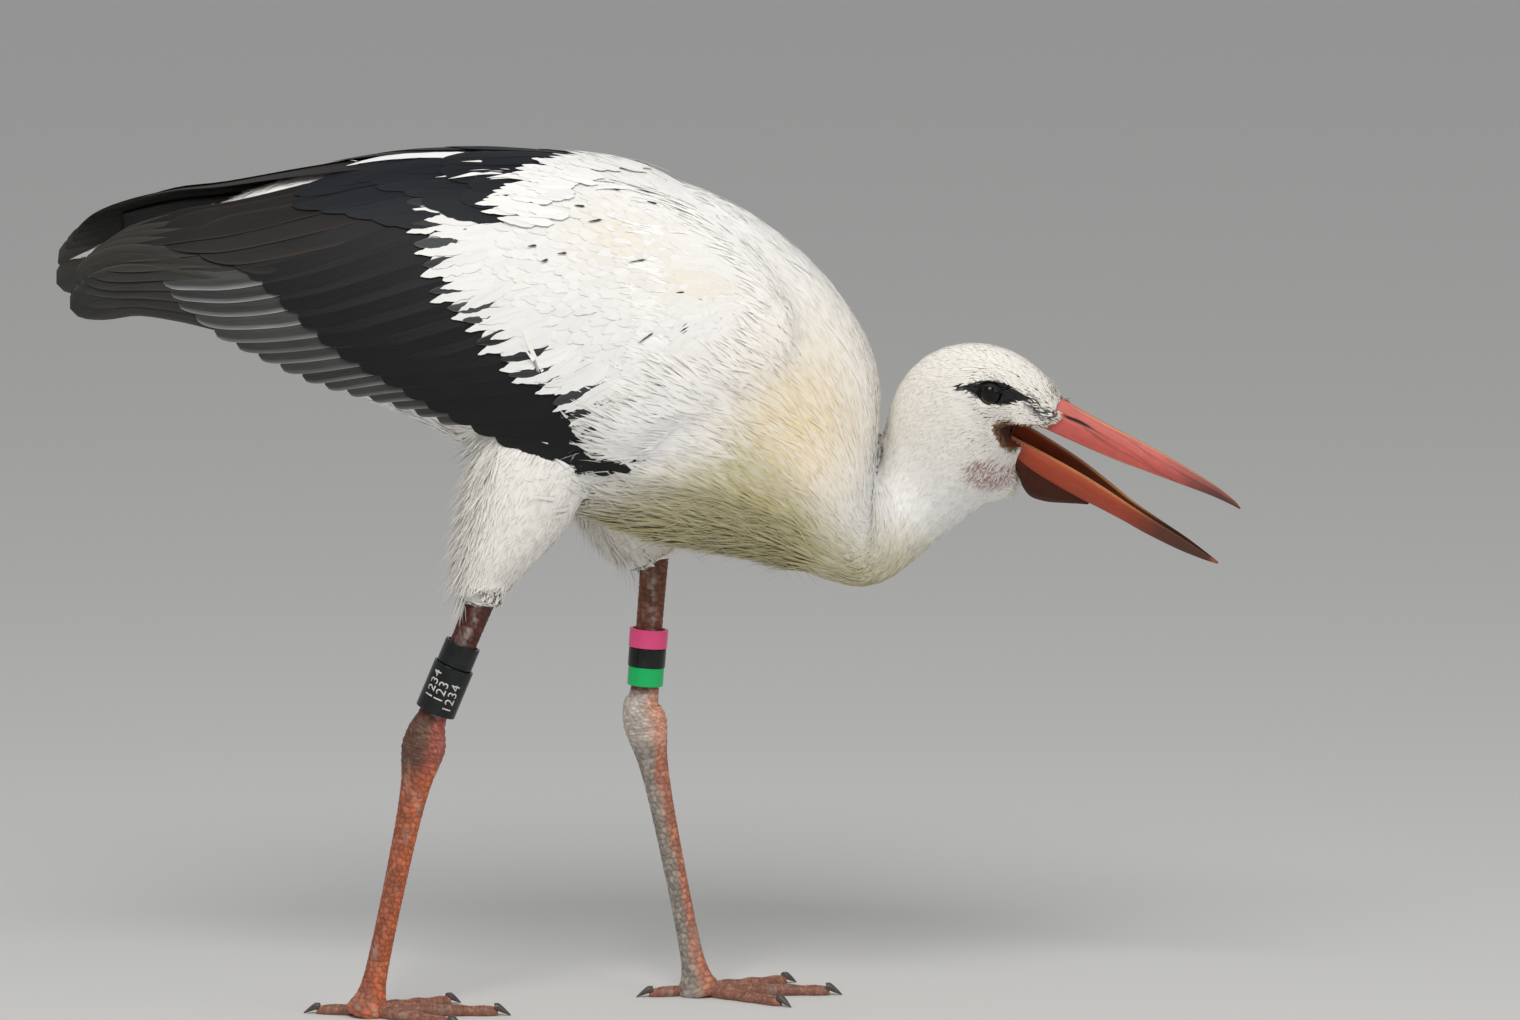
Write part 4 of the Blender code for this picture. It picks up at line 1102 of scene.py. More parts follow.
        # claw: sections narrowing as 1 - 0.86 s^1.4, bending down to the floor, from inside the toe
        s = np.linspace(-0.35, 1, 26)[:, None]
        a = round_angles(24)
        along_claw = np.clip(s, 0, 1)
        half = end * 0.8 * (1 - 0.86 * along_claw**1.4) + 0 * a
        lift = end * 0.9 * (1 - along_claw) + half * 0.8
        distance = TOE_AT + length + 0.3 + CLAW_LONG * s + 0 * a
        tall = np.maximum(lift + half * 0.95 * np.cos(a), 0.0)
        grid = placed(foot, (ahead, distance), (across, half * np.sin(a)), (UP, tall))
        add_tube("claw_horn_" + node, from_bird(grid), claw_material, "claw", ("claw_" + node,), flip=True)

# ---------------------------------------------------------------- leg rings
# Plastic rings round the shanks. On the right leg a tall black sleeve wrapped on itself, with
# pale engraved digits up its side, and a narrower collar above it; on the left three short
# rings, green, black and pink, one above the other. All have rounded edges.

# Start up the shank from its ankle end, height, outer radius, mm; then colour and slot.
RINGS = {
    "right": (("sleeve_black", 11.6, 37.0, 15.6), ("collar_black", 48.9, 17.4, 13.4)),
    "left": (("green", 13.0, 14.0, 13.4), ("black", 27.3, 14.0, 13.9), ("pink", 41.6, 14.0, 14.4)),
}
RING_COLOURS = {"black": (0.006, 0.0085, 0.0085), "green": (0.008, 0.5, 0.135), "pink": (0.84, 0.085, 0.25)}
RING_WALL, RING_EDGE, SEAM_STEP = 2.2, 0.55, 0.8
SHANK_ENDS = {
    "right": ((-157.4, -45.4, 218.0), (-137.0, -46.8, 267.0)),
    "left": ((0.3, 45.9, 221.0), (4.5, 47.0, 278.0)),
}
# Columns of digits: text, angle round the sleeve from the bird's right, place up it, mm.
DIGIT_COLUMNS = (("1234", -0.66, 2.2), ("123", -0.1, -1.0), ("1234", 0.5, -3.2))
DIGIT_SIZE, DIGIT_PROUD, SHEET_HALF, SEAM_AT = 10.5, 0.12, 0.25, 4.05


def seam_drop(angle):
    """How far the sleeve's radius has fallen at an angle, from none at its overlap round to it."""
    return SEAM_STEP * ((angle - SEAM_AT) % (2 * math.pi) / (2 * math.pi))


def ring_section(low, high, inner, outer, edge, corner=6):
    """A ring's section, (height, radius) round it: a box with quarter circles at its corners."""
    places = []
    for height, radius, start in (
        (high - edge, outer - edge, 0), (high - edge, inner + edge, 1), (low + edge, inner + edge, 2),
        (low + edge, outer - edge, 3),
    ):
        a = (start + steps(corner)) * math.pi / 2
        places.append(np.stack([height + edge * np.sin(a), radius + edge * np.cos(a)], 1))
    return np.concatenate(places)


def plastic(name, colour):
    """Ring plastic: one colour, faintly scuffed, with fine scratches round it."""
    made = Finish(name, {"IOR": 1.38})
    scuff = made.noise((260.0, 260.0, 900.0), 4.0, 0.6)
    dust = made.noise(140.0, 3.0)
    dull = tuple(0.8 * c + 0.02 for c in colour)
    return made.feed({
        "Base Color": made.mixed(dust.step(0.5, 0.8) * 0.4 + scuff * 0.1, colour, dull),
        "Roughness": scuff * 0.2 + 0.14,
        "Normal": made.bump(scuff, 0.0002, 0.35),
    })


plastics = {name: plastic("ring_" + name, colour) for name, colour in RING_COLOURS.items()}
ring_axes = {}
for name in ("right", "left"):
    start, further = (np.array(place) for place in SHANK_ENDS[name])
    line = unit(further - start)
    aside = unit(np.array((0.0, 1.0, 0.0)) - line * line[1])
    ring_axes[name] = start, line, aside, np.cross(aside, line)
for name, rings in RINGS.items():
    start, line, aside, front = ring_axes[name]
    for label, low, tall, outer in rings:
        # ring: start + line * height + radius * (cos a * front + sin a * aside); the sleeve's
        # radius falls steadily round it and steps back up at its overlap
        section = ring_section(low, low + tall, outer - RING_WALL, outer, RING_EDGE)
        a = round_angles(144)
        radius = section[:, 1:2] + 0 * a
        if label.startswith("sleeve"):
            radius = radius - seam_drop(a) * (section[:, 1:2] > outer - RING_WALL / 2)
        grid = start + line * section[:, :1, None] + radius[..., None] * spokes(a, front, aside)
        quads = tube_faces(len(section) + 1, 144) % (len(section) * 144)
        colour = label.split("_")[-1]
        points, replaced = from_bird(grid).reshape(-1, 3), (f"band_{name}_{label}",)
        add_piece(f"ring_{name}_{label}", points, [quads], plastics[colour], "band_" + colour, replaced)


def digit_sheet(text):
    """A line of digits as points and triangles of a flat sheet in mm, cut across every 0.8 mm."""
    sheet = bpy.data.curves.new("digits", "FONT")
    sheet.body, sheet.size, sheet.extrude = text, DIGIT_SIZE, SHEET_HALF
    sheet.align_x, sheet.align_y = "CENTER", "CENTER"
    sheet.resolution_u, sheet.space_character = 6, 1.1
    flat_text = new_object("digits", sheet)
    graph = bpy.context.evaluated_depsgraph_get()
    cut_text = bmesh.new()
    cut_text.from_mesh(bpy.data.meshes.new_from_object(flat_text.evaluated_get(graph)))
    bpy.data.objects.remove(flat_text)
    for level in np.arange(-4.8, 4.9, 0.8):
        parts = cut_text.verts[:] + cut_text.edges[:] + cut_text.faces[:]
        bmesh.ops.bisect_plane(cut_text, geom=parts, plane_co=(0, level, 0), plane_no=(0, 1, 0))
    bmesh.ops.remove_doubles(cut_text, verts=cut_text.verts, dist=0.001)
    bmesh.ops.triangulate(cut_text, faces=cut_text.faces)
    working = bpy.data.meshes.new("digits")
    cut_text.to_mesh(working)
    cut_text.free()
    points, _, triangles = mesh_arrays(working)
    return points, triangles


# digits: each sheet wrapped round the sleeve, its length up the shank and its height round it
ink = Finish("digit_white", {"Roughness": 0.5})
worn = ink.noise(900.0, 3.0)
ink_material = ink.feed(
    {"Base Color": ink.mixed(worn.step(0.5, 0.75) * 0.6, (0.66, 0.66, 0.6), (0.14, 0.14, 0.13))}
)
start, line, aside, front = ring_axes["right"]
_, low, tall, outer = RINGS["right"][0]
for number, (text, around, up) in enumerate(DIGIT_COLUMNS):
    flat, triangles = digit_sheet(text)
    angle = 1.5 * math.pi + around - flat[:, 1] / outer
    radius = outer - seam_drop(angle) + flat[:, 2] * DIGIT_PROUD / SHEET_HALF
    along = start + line * (low + tall / 2 + up + flat[:, :1])
    wrapped = along + radius[:, None] * spokes(angle, front, aside)
    add_piece(f"ring_right_digits_{number + 1}", from_bird(wrapped), [triangles], ink_material, None)

# ---------------------------------------------------------------- body coat
# Contour feathers grow from the skin in overlapping tufts: short and fine on the head, longer on
# the neck, long and loose on the breast and belly, downy on the thighs. They lie from the bill
# towards the tail, and down the thighs.

TUFT_SECTION = ((-1, 0), (0, 1), (1, 0))  # across, height; going round the vane
ROOT_PATCH = 0.003  # size of one tuft on the OFBake map


def on_skin(points):
    """Places on the skin and the directions straight out of it, for an array of points."""
    flat = points.reshape(-1, 3)
    base = drape(flat, 0.0)
    out = unit(drape(base, 2 * MM) - base)
    return base.reshape(points.shape), out.reshape(points.shape)


def vane_outline(t, shoulder, power):
    """Half width of a vane along it, as a share: (t / 0.2)^0.5 at the root, 1 up to the
    shoulder, then (1 - s^power)^(1 / power) with s from 0 there to 1 at the tip."""
    s = np.clip((t - shoulder) / (1 - shoulder), 0, 1)
    return np.clip(t / 0.2, 0, 1) ** 0.5 * (1 - s**power) ** (1 / power)


def vanes(
    name, centres, ups, halves, thick, camber, section, tint, coat, bake, flip=False, tilt=0.0,
    fringe=None, replaced=(),
):
    """One piece of many closed vanes. Row r and section place k of vane n is at
    centre + side * half * across_k + up * (thick * height_k - camber * across_k^2).

    centres are (n, rows, 3), and the first and last rows are the vane's points; ups may be one
    each. halves is (n, rows), or (n, rows, 2) for the two sides; thick and camber are one each
    or one for all. tilt turns each vane about its line. tint is (n, 3), or (n, rows, 3). coat is
    the material and its slot. fringe is (share of the half width, colours (n, 3), edges) for the
    last part of the lower side, or of both.
    """
    count, rows = centres.shape[:2]
    halves = halves if halves.ndim == 3 else np.repeat(halves[..., None], 2, axis=2)
    thick, camber = (np.broadcast_to(value, count)[:, None] for value in (thick, camber))
    outward = unit(ups + 0 * centres)
    across, height = np.array(section, float).T
    line = unit(np.gradient(centres, axis=1))
    sides = unit(np.cross(ups, line)) * (-1 if flip else 1)
    ups = unit(np.cross(line, sides)) * (-1 if flip else 1)
    tilt = np.broadcast_to(tilt, count)[:, None, None]
    sides, ups = sides * np.cos(tilt) + ups * np.sin(tilt), ups * np.cos(tilt) - sides * np.sin(tilt)
    inner = slice(1, rows - 1)
    half = np.where(across < 0, halves[:, inner, :1], halves[:, inner, 1:])
    fade = np.clip(half.mean(2) / np.maximum(half.mean(2).max(axis=1, keepdims=True), 1e-9), 0.25, 1)
    rise = (thick * fade)[..., None] * height - (camber * fade**2)[..., None] * across**2
    ring = centres[:, inner, None] + sides[:, inner, None] * (half * across)[..., None]
    ring = ring + ups[:, inner, None] * rise[..., None]
    around, rings = len(across), rows - 2
    points = np.concatenate([centres[:, :1], ring.reshape(count, -1, 3), centres[:, -1:]], axis=1)
    each = points.shape[1]
    quads, ends = 1 + tube_faces(rings, around), 1 + end_faces(rings, around, -1, each - 2)
    if not flip:
        quads, ends = quads[:, ::-1], ends[:, ::-1]
    shift = (np.arange(count) * each)[:, None, None]
    faces = [(quads + shift).reshape(-1, 4), (ends + shift).reshape(-1, 3)]

    def spread(values, pole_start, pole_end):
        """Values at each ring point, with the two points' own values put round them."""
        values = values.reshape(count, -1, values.shape[-1])
        return np.concatenate([pole_start, values, pole_end], axis=1).reshape(-1, values.shape[-1])

    if tint.ndim == 2:
        tint = np.repeat(tint[:, None], rows, axis=1)
    colour = np.repeat(tint[:, inner, None], around, axis=2)
    if fringe is not None:
        reach = np.abs(across) if fringe[2] == "both" else across
        share = ease(fringe[0], 1.0, reach)[None, None, :, None]
        colour = colour * (1 - share) + fringe[1][:, None, None] * share
    seed = chance.random((count, 1, 1, 1)) + np.zeros_like(colour[..., :1])
    colour = np.concatenate([colour, seed], axis=-1)
    poles = [np.concatenate([tint[:, k : k + 1], seed[:, :1, 0]], axis=-1) for k in (0, rows - 1)]
    length = np.linalg.norm(np.diff(centres, axis=1), axis=2).cumsum(axis=1)
    along = np.concatenate([np.zeros((count, 1)), length], axis=1)
    run = np.repeat(along[:, inner, None], around, axis=2)
    real = np.stack([half * across, run], -1) * 10
    real_poles = [np.stack([along[:, k] * 0, along[:, k] * 10], -1)[:, None] for k in (0, rows - 1)]
    patch_place = np.stack([across * 0.5 + 0 * run, run / along[:, -1:, None] - 0.5], -1) * ROOT_PATCH
    patch_place = patch_place + bake[:, None, None]
    patch_poles = [bake[:, None] + np.array((0, end * ROOT_PATCH)) for end in (-0.5, 0.5)]
    made = add_piece(
        name, points.reshape(-1, 3), faces, *coat, replaced, spread(colour, *poles),
        {"OFBake": spread(patch_place, *patch_poles), "vane": spread(real, *real_poles)},
    )
    made.data.set_sharp_from_angle(angle=math.radians(70))
    soft = np.repeat(outward[:, inner, None], around, axis=2)
    return vector_attribute(made, "outward", spread(soft, outward[:, :1], outward[:, -1:]))


def plumage(name, fixed, streak, rough, barbs, soft):
    """Feather finish: the tint under fine streaks along each vane, and barbs as slanting lines
    either side of the shaft. The map vane holds real distances in decimetres. soft is how far
    the shading turns from each vane's own way to the whole coat's, as in a deep soft pile."""
    feather = Finish(name, fixed)
    vane = feather.node("UVMap", {"uv_map": "vane"}, {})
    across = feather.node("SeparateXYZ", {}, {"Vector": vane}, "X")
    along = feather.node("SeparateXYZ", {}, {"Vector": vane}, "Y")
    own = feather.attribute("tint", "Alpha")
    place = feather.node("CombineXYZ", {}, {"X": across * 62, "Y": along * 5, "Z": own * 37})
    streaks = feather.noise(1.0, 4.0, 0.6, place)
    turned = {"vector_type": "NORMAL", "convert_from": "OBJECT", "convert_to": "WORLD"}
    outward = feather.node("VectorTransform", turned, {"Vector": feather.attribute("outward", "Vector")})
    slant = (along * 55 - across.size() * 90 + own * 9).wave(1.0)
    true_way = feather.node("NewGeometry", {}, {}, "Normal")
    same_side = feather.node("VectorMath", {"operation": "DOT_PRODUCT"}, {0: true_way, 1: outward}, "Value")
    sockets = {0: same_side.step(-0.35, 0.05) * soft, 4: true_way, 5: outward}
    mixed_way = feather.node("Mix", {"data_type": "VECTOR"}, sockets, 1)
    coat_way = feather.node("VectorMath", {"operation": "NORMALIZE"}, {0: mixed_way})
    return feather.feed({
        "Base Color": feather.shade(feather.attribute("tint"), (streaks - 0.5) * streak + own * 0.06 + 0.97),
        "Roughness": streaks * 0.2 + rough,
        "Normal": feather.bump(streaks * 0.7 + slant * barbs, 0.0005, 0.55, coat_way),
    })


WHITE_FIXED = {"Specular IOR Level": 0.2, "Sheen Weight": 0.1, "Sheen Roughness": 0.7}
white_coat = plumage("white_plumage", WHITE_FIXED, 0.13, 0.72, 0.07, 0.88), "white_plumage"

# Tufts of each region: density for each skin point, then by station: length, half width, mm.
REGIONS = (
    ("coat_head", HEAD_ROW + 0.5, 31, 2.2,
     ((20.5, 16.0, 1.2), (24, 11.0, 1.0), (27, 7.5, 0.85), (30, 5.0, 0.7))),
    ("coat_neck", 12.0, HEAD_ROW + 0.5, 1.5, ((12, 32.0, 1.6), (16, 26.0, 1.45), (20.5, 16.0, 1.2))),
    ("coat_breast", 8.2, 12.0, 1.15, ((8.2, 46.0, 2.0), (12, 34.0, 1.7))),
    ("coat_trunk", -1, 8.2, 0.52, ((0, 56.0, 3.4), (3, 50.0, 3.0), (8.2, 46.0, 2.0))),
    ("coat_thigh_right", 40, 45, 1.6, ((40, 30.0, 1.5), (44.2, 16.0, 1.0))),
    ("coat_thigh_left", 50, 55, 1.6, ((50, 30.0, 1.5), (54.2, 16.0, 1.0))),
)
TUFT_T = np.array((0.0, 0.22, 0.66, 1.0))
TUFTS_IN_PIECE = 15000
from_eye_line = np.hypot(in_head[:, 0] - EYE_IN_HEAD[0], in_head[:, 2] - EYE_IN_HEAD[2])
skin_x = (skin_points[:, 0] - BIRD_ZERO[0]) / MM
in_gap = (in_head[:, 0] > 23) & (in_head[:, 2] > -12) & (in_head[:, 2] < 20)
faces_in = np.abs((to_head(skin_points + skin_normals * MM) - in_head)[:, 1]) < 0.5
fold_row = (near_line(in_head, GAPE_LINE) < 3.0) & (in_head[:, 0] < 44) & (np.abs(in_head[:, 1]) > 8)
bare = inside_mouth | on_head & (bill_root(in_head) | (in_gap & faces_in) | fold_row | (from_eye_line < 8.6))
bare |= on_wing & (outside > 5 * MM) & (skin_x < 30)
for name, low, high, density, sizes in REGIONS:
    chosen = np.flatnonzero((station >= low) & (station < high) & ~bare)
    # finer and denser round the mouth and on the throat
    near_mouth = ease(15, 6, near_line(in_head[chosen], GAPE_LINE)) * on_head[chosen]
    on_throat = throat_patch(in_head[chosen]) * on_head[chosen]
    fine = np.maximum(near_mouth, on_throat)
    copies = np.floor(density * (1 + 1.3 * fine) + chance.random(len(chosen))).astype(int)
    chosen, fine = np.repeat(chosen, copies), np.repeat(fine, copies)
    count = len(chosen)
    where = station[chosen]
    length, half = (np.interp(where, *np.array(sizes)[:, [0, k]].T) for k in (1, 2))
    seed = chance.random(count)
    out, flow = skin_normals[chosen], way[chosen]
    flow = unit(flow - out * (flow * out).sum(1, keepdims=True))
    side = np.cross(out, flow)
    swing = chance.normal(0, 0.13, (count, 1))
    flow = flow * np.cos(swing) + side * np.sin(swing)
    jitter = chance.uniform(-0.5, 0.5, (count, 2)) * VOXEL * 1.3
    root = skin_points[chosen] + flow * jitter[:, :1] + side * jitter[:, 1:]
    head = to_head(root)
    to_left = np.column_stack([head[:, 0], np.abs(head[:, 1]), head[:, 2]])
    off_eye = np.linalg.norm(to_left - EYE_IN_HEAD, axis=1)
    short = np.where(where < 40, 0.45 + 0.55 * ease(11, 20, off_eye), 1.0)
    reach = to_head(root + flow * (length * short * MM)[:, None])
    hangs = on_head[chosen] & (bill_root(reach) | mouth_opening(reach) | (near_line(reach, GAPE_LINE) < 2.4))
    short = short * np.where(hangs, 0.35, 1.0)
    length = length * short * (1 - 0.45 * fine) * chance.uniform(0.8, 1.2, count) * MM
    half = half * np.sqrt(short) * (1 - 0.45 * fine) * chance.uniform(0.75, 1.25, count) * MM
    rachis = root[:, None] + flow[:, None] * (length[:, None] * TUFT_T)[..., None]
    base, ups = on_skin(rachis)
    tall = depth[chosen] * chance.uniform(0.95, 1.03, count)
    rear = ease(0.1, 0.9, -out[:, 0]) * (where >= 40) * ease(0.35, 0.65, seed)
    under = ease(0.35, 0.95, -out[:, 2]) * (where < 11) * (where > 5) * (seed > 0.55)
    crest = (where < 40) * ease(37, 43, head[:, 0]) * ease(36, 41, head[:, 2]) * (seed > 0.6)
    stand = (rear * 8.5 + under * 6.0 + crest * 3.2)[:, None] * TUFT_T**2
    lift = tall[:, None] - np.minimum(0.5 * tall, 1.5)[:, None] * (1 - TUFT_T**0.7) + stand
    lift[:, 0] -= 1.0
    bend = side[:, None] * (chance.normal(0, 0.06, count)[:, None] * length[:, None] * TUFT_T**2)[..., None]
    centres = base + ups * (lift * MM)[..., None] + bend
    profile = vane_outline(TUFT_T, 0.2, 1.45)
    halves = half[:, None] * profile * (1 - 0.55 * rear[:, None])
    tint = markings(rachis[:, 2], where, seed)
    ticks = (where > HEAD_ROW) & (where < 31) & (head[:, 2] > 38) & (chance.random(count) < 0.006)
    tint = blend(tint, (0.08, 0.08, 0.085), 0.85 * ticks)
    bake = round_map(where, turn[chosen])
    # tufts that would bridge a fold of the skin are left out
    kept = np.flatnonzero((ups[:, 0] * ups[:, -1]).sum(1) > 0.25)
    kept = kept[np.argsort(where[kept], kind="stable")]
    parts = -(-len(kept) // TUFTS_IN_PIECE)
    for number, part in enumerate(np.array_split(kept, parts)):
        vanes(
            f"{name}_{number + 1}" if parts > 1 else name, centres[part], ups[part], halves[part],
            half[part] * 0.1, half[part] * 0.08, TUFT_SECTION, tint[part], white_coat, bake[part],
        )


def loose_tufts(label, chosen, root, flow, length, width, thick, camber, tint, lift=0.0):
    """Straight tufts from a root near each chosen skin point: root + flow * length * t + lift."""
    centres = root[:, None] + flow[:, None] * (length[:, None] * TUFT_T)[..., None] + lift
    bake = round_map(station[chosen], turn[chosen])
    halves = width[:, None] * MM * vane_outline(TUFT_T, 0.2, 1.45)
    ups = skin_normals[chosen][:, None]
    vanes(
        "coat_" + label, centres, ups, halves, thick * MM, camber * MM, TUFT_SECTION, tint, white_coat, bake
    )


# Where the face meets the bill: short feathers point forward over the horn, dark bristles among
# them on the lores, and longer ones run on under the throat skin.
head_way = to_head(skin_points + skin_normals * MM) - in_head
ahead, behind = in_head + (2.6, 0, 0), in_head - (2.4, 0, 0)
at_horn = on_head & bill_root(ahead) & ~bill_root(behind) & (in_head[:, 0] > 38) & (head_way[:, 2] > -0.3)
at_throat = on_head & (in_head[:, 0] > 41) & (in_head[:, 2] < -24) & (in_head[:, 2] > -60)
for label, spots, count, reach, half, aim in (
    ("horn", at_horn, 520, 5.0, 0.42, (1.0, 0.1)), ("throat", at_throat, 420, 10.0, 0.55, (1.0, -0.25)),
):
    chosen = chance.choice(np.flatnonzero(spots), count)
    out, head = skin_normals[chosen], in_head[chosen]
    aside, above = chance.normal(0, 0.16, (2, count))
    flow = np.column_stack([np.full(count, aim[0]), aside, aim[1] + above])
    flow = unit(from_head(head + flow) - from_head(head))
    flow = unit(flow - out * (flow * out).sum(1, keepdims=True) * 0.8)
    root = skin_points[chosen] + np.cross(out, flow) * chance.uniform(-1.4, 1.4, (count, 1)) * MM
    length = reach * chance.uniform(0.55, 1.15, count) * MM
    lift = 0.2 + 1.3 * TUFT_T**0.5 if label == "horn" else 0.4 + 1.4 * TUFT_T
    dark = (head[:, 2] < 37) & (label == "horn") & (chance.random(count) < 0.4)
    tint = blend(plain(WARM_WHITE, count), BRISTLE_BLACK, 0.9 * dark)
    width = half * chance.uniform(0.7, 1.2, count)
    raised = out[:, None] * (lift * MM)[None, :, None]
    loose_tufts("front_" + label, chosen, root, flow, length, width, 0.06, 0.03, tint, raised)

# loose wisps: hair-thin tufts that stand off the backs of the thighs and under the belly
to_rear, to_ground = skin_normals[:, 0] < -0.5, skin_normals[:, 2] < -0.55
belly = (station > 4) & (station < 10.5) & to_ground & (skin_x > -40) & (skin_x < 120)
for label, spots, count, reach, out_share, forward in (
    ("thighs", (station >= 40) & to_rear, 900, 24.0, 0.85, 0.0), ("belly", belly, 800, 28.0, 0.5, 0.35),
):
    chosen = chance.choice(np.flatnonzero(spots), count)
    out = skin_normals[chosen]
    turned_round = np.where(chance.random((count, 1)) < forward, -1.0, 1.0)
    flow = way[chosen] * turned_round + out * out_share * chance.uniform(0.2, 1.3, (count, 1))
    flow = unit(flow + chance.normal(0, 0.13, (count, 3)))
    length = reach * chance.uniform(0.5, 1.1, count) * MM
    root = skin_points[chosen] + out * depth[chosen][:, None] * 0.95 * MM
    sag = (length[:, None] * TUFT_T**2 * 0.12)[..., None] * (0, 0, -1)
    width = 0.42 * chance.uniform(0.6, 1.3, count)
    tint = markings(root, station[chosen], chance.random(count))
    loose_tufts("wisps_" + label, chosen, root, flow, length, width, 0.08, 0.02, tint, sag)

# ---------------------------------------------------------------- wings
# Folded wings, laid as the bird lays them: grey-black primaries and silver-edged secondaries
# below, black greater coverts over them, white coverts over those, and at the top long black
# shoulder feathers. Every feather is a vane on a raised shaft.

# Outer form by x: half width, its height, top height, lower edge height, angles of the edges.
WING = (
    (115, 84, 480, 566, 500, 61, 69), (105, 86.5, 480, 575, 494, 46, 80),
    (87, 90, 480, 590, 474, 36, 93), (57, 94.5, 480, 607, 455, 27, 106),
    (0, 98.5, 482, 629, 425, 17, 120), (-60, 99, 486, 638, 421, 12, 126),
    (-120, 96, 494, 641, 440, 10, 126), (-180, 89, 506, 638, 459, 9.5, 125),
    (-240, 78, 520, 625, 473, 11, 124), (-300, 64, 535, 609, 496, 14, 122),
    (-335, 55, 545, 602, 515, 17, 120), (-372, 44, 550, 590, 527, 20, 116),
    (-400, 36, 549, 579, 523, 24, 115), (-425, 30, 545, 567, 517, 28, 113),
)
LEFT_TIP_SHIFT, TIP_SHIFT_FROM, WING_REAR = (-13.0, 12.0), -150.0, -425.0
WING_FINE = smooth_rows(WING[::-1], 160)
BLACK, BLUE_BLACK, BROWN_BLACK = (0.0085, 0.0085, 0.0095), (0.0085, 0.0105, 0.0145), (0.013, 0.0105, 0.0092)
PRIMARY_GREY, SECONDARY_GREY, SILVER = (0.026, 0.026, 0.0235), (0.056, 0.056, 0.055), (0.3, 0.305, 0.31)


def wing_at(x, share, side, lift=0.0):
    """A wing's outer form in mm. With the angle th from straight up between the edges' angles:
    y = side * W * sin th, z = M + H * cos th; lift is added to W and H."""
    read = (np.interp(x, WING_FINE[:, 0], WING_FINE[:, k]) for k in range(1, 7))
    width, middle, top, low, first, last = read
    angle = np.radians(first + (last - first) * share)
    drop = np.where(last > 91, (middle - low) / np.maximum(-np.cos(np.radians(last)), 0.02), top - middle)
    height = np.where(angle < math.pi / 2, top - middle, drop) + lift
    moved = 1 - ease(WING_REAR, TIP_SHIFT_FROM, x) if side > 0 else 0.0
    return np.stack([
        x + LEFT_TIP_SHIFT[0] * moved,
        side * (width + lift) * np.sin(angle),
        middle + height * np.cos(angle) + LEFT_TIP_SHIFT[1] * moved,
    ], -1)


def wing_out(x, share, side):
    """The direction straight out of the wing: the cross product of steps along x and share."""
    along = wing_at(x + 1.0, share, side) - wing_at(x - 1.0, share, side)
    across = wing_at(x, share + 0.01, side) - wing_at(x, share - 0.01, side)
    return unit(np.cross(along, across)) * side


def along_line(line, shares):
    """Places on a polyline of (x, share) at shares of its length."""
    keys = np.array(line, float)
    steps = np.hypot(np.diff(keys[:, 0]), np.diff(keys[:, 1]) * SHARE_LENGTH)
    at = np.concatenate([[0], np.cumsum(steps)]) / steps.sum()
    return np.stack([np.interp(shares, at, keys[:, k]) for k in (0, 1)], -1)


CAMBER_RADIUS = 0.16  # m, of a wing feather's curve across
SHARE_LENGTH = 220  # mm round the wing that a share of 1 counts for
COVERT_SECTION = ((-1, 0), (-0.5, 0.8), (0, 1.05), (0.5, 0.8), (1, 0), (0, -0.7))
VANE_SECTION = (
    (-1, 0), (-0.88, 0.42), (-0.5, 0.75), (-0.07, 0.85), (0, 1.5), (0.07, 0.85), (0.5, 0.75),
    (0.88, 0.42), (1, 0), (0, -0.7),
)


def wing_vanes(
    name, side, roots, tips, half, lifts, tint, coat, shoulder, power, rows, split=0.5, thick=0.55,
    tilt=0.0, fringe=None, bow=0.0, ragged=0.0, replaced=(), section=VANE_SECTION, settle=None,
):
    """Vanes on a wing from roots to tips, both (n, 2) places (x, share). Their line is straight
    there with a bow of bow * 4 t (1 - t) in share; lifts are mm above the outer form at the root
    and tip. split is the upper side's share of the width. settle is (from x, to x, height): over
    those x the line comes down to that height above the skin."""
    count = len(roots)
    t = steps(rows)
    t = 1 - (1 - t) ** 1.35
    place = roots[:, None] + (tips - roots)[:, None] * t[None, :, None]
    share = place[..., 1] + np.broadcast_to(bow, count)[:, None] * 4 * t * (1 - t)
    lifts = np.asarray(lifts, float)
    lifts = np.broadcast_to(lifts, (count, 2)) if lifts.ndim < 3 else lifts
    lift = lifts[:, :1] + (lifts[:, 1:] - lifts[:, :1]) * t
    centres = from_bird(wing_at(place[..., 0], share, side, lift))
    ups = wing_out(place[..., 0], share, side)
    if settle:
        down = ease(settle[0], settle[1], place[..., 0])[..., None]
        lying = drape(centres.reshape(-1, 3), settle[2] * MM).reshape(centres.shape)
        centres = centres + (lying - centres) * down
    half = np.broadcast_to(half, count) * MM
    width = half[:, None] * vane_outline(t, shoulder, power)[None] * 2
    nicks = 1 - ragged * chance.random((count, rows, 2)) ** 2 * (t > 0.3)[:, None]
    halves = np.stack([width * split, width * (1 - split)], -1) * nicks
    bake = np.stack([(place[:, 0, 0] + 430) / 560, (place[:, 0, 1] + 0.3) / 1.5], 1) * 0.9 + 0.02
    camber = half**2 / (2 * CAMBER_RADIUS)
    vanes(
        name, centres, ups, halves, thick * MM, camber, section, tint, coat, bake, side > 0, tilt, fringe,
        replaced,
    )


def tones(colour, count, spread=0.12):
    """The colour for each of count feathers, a little lighter or darker from one to the next."""
    return np.array(colour) * (1 + spread * chance.normal(0, 1, (count, 1)))


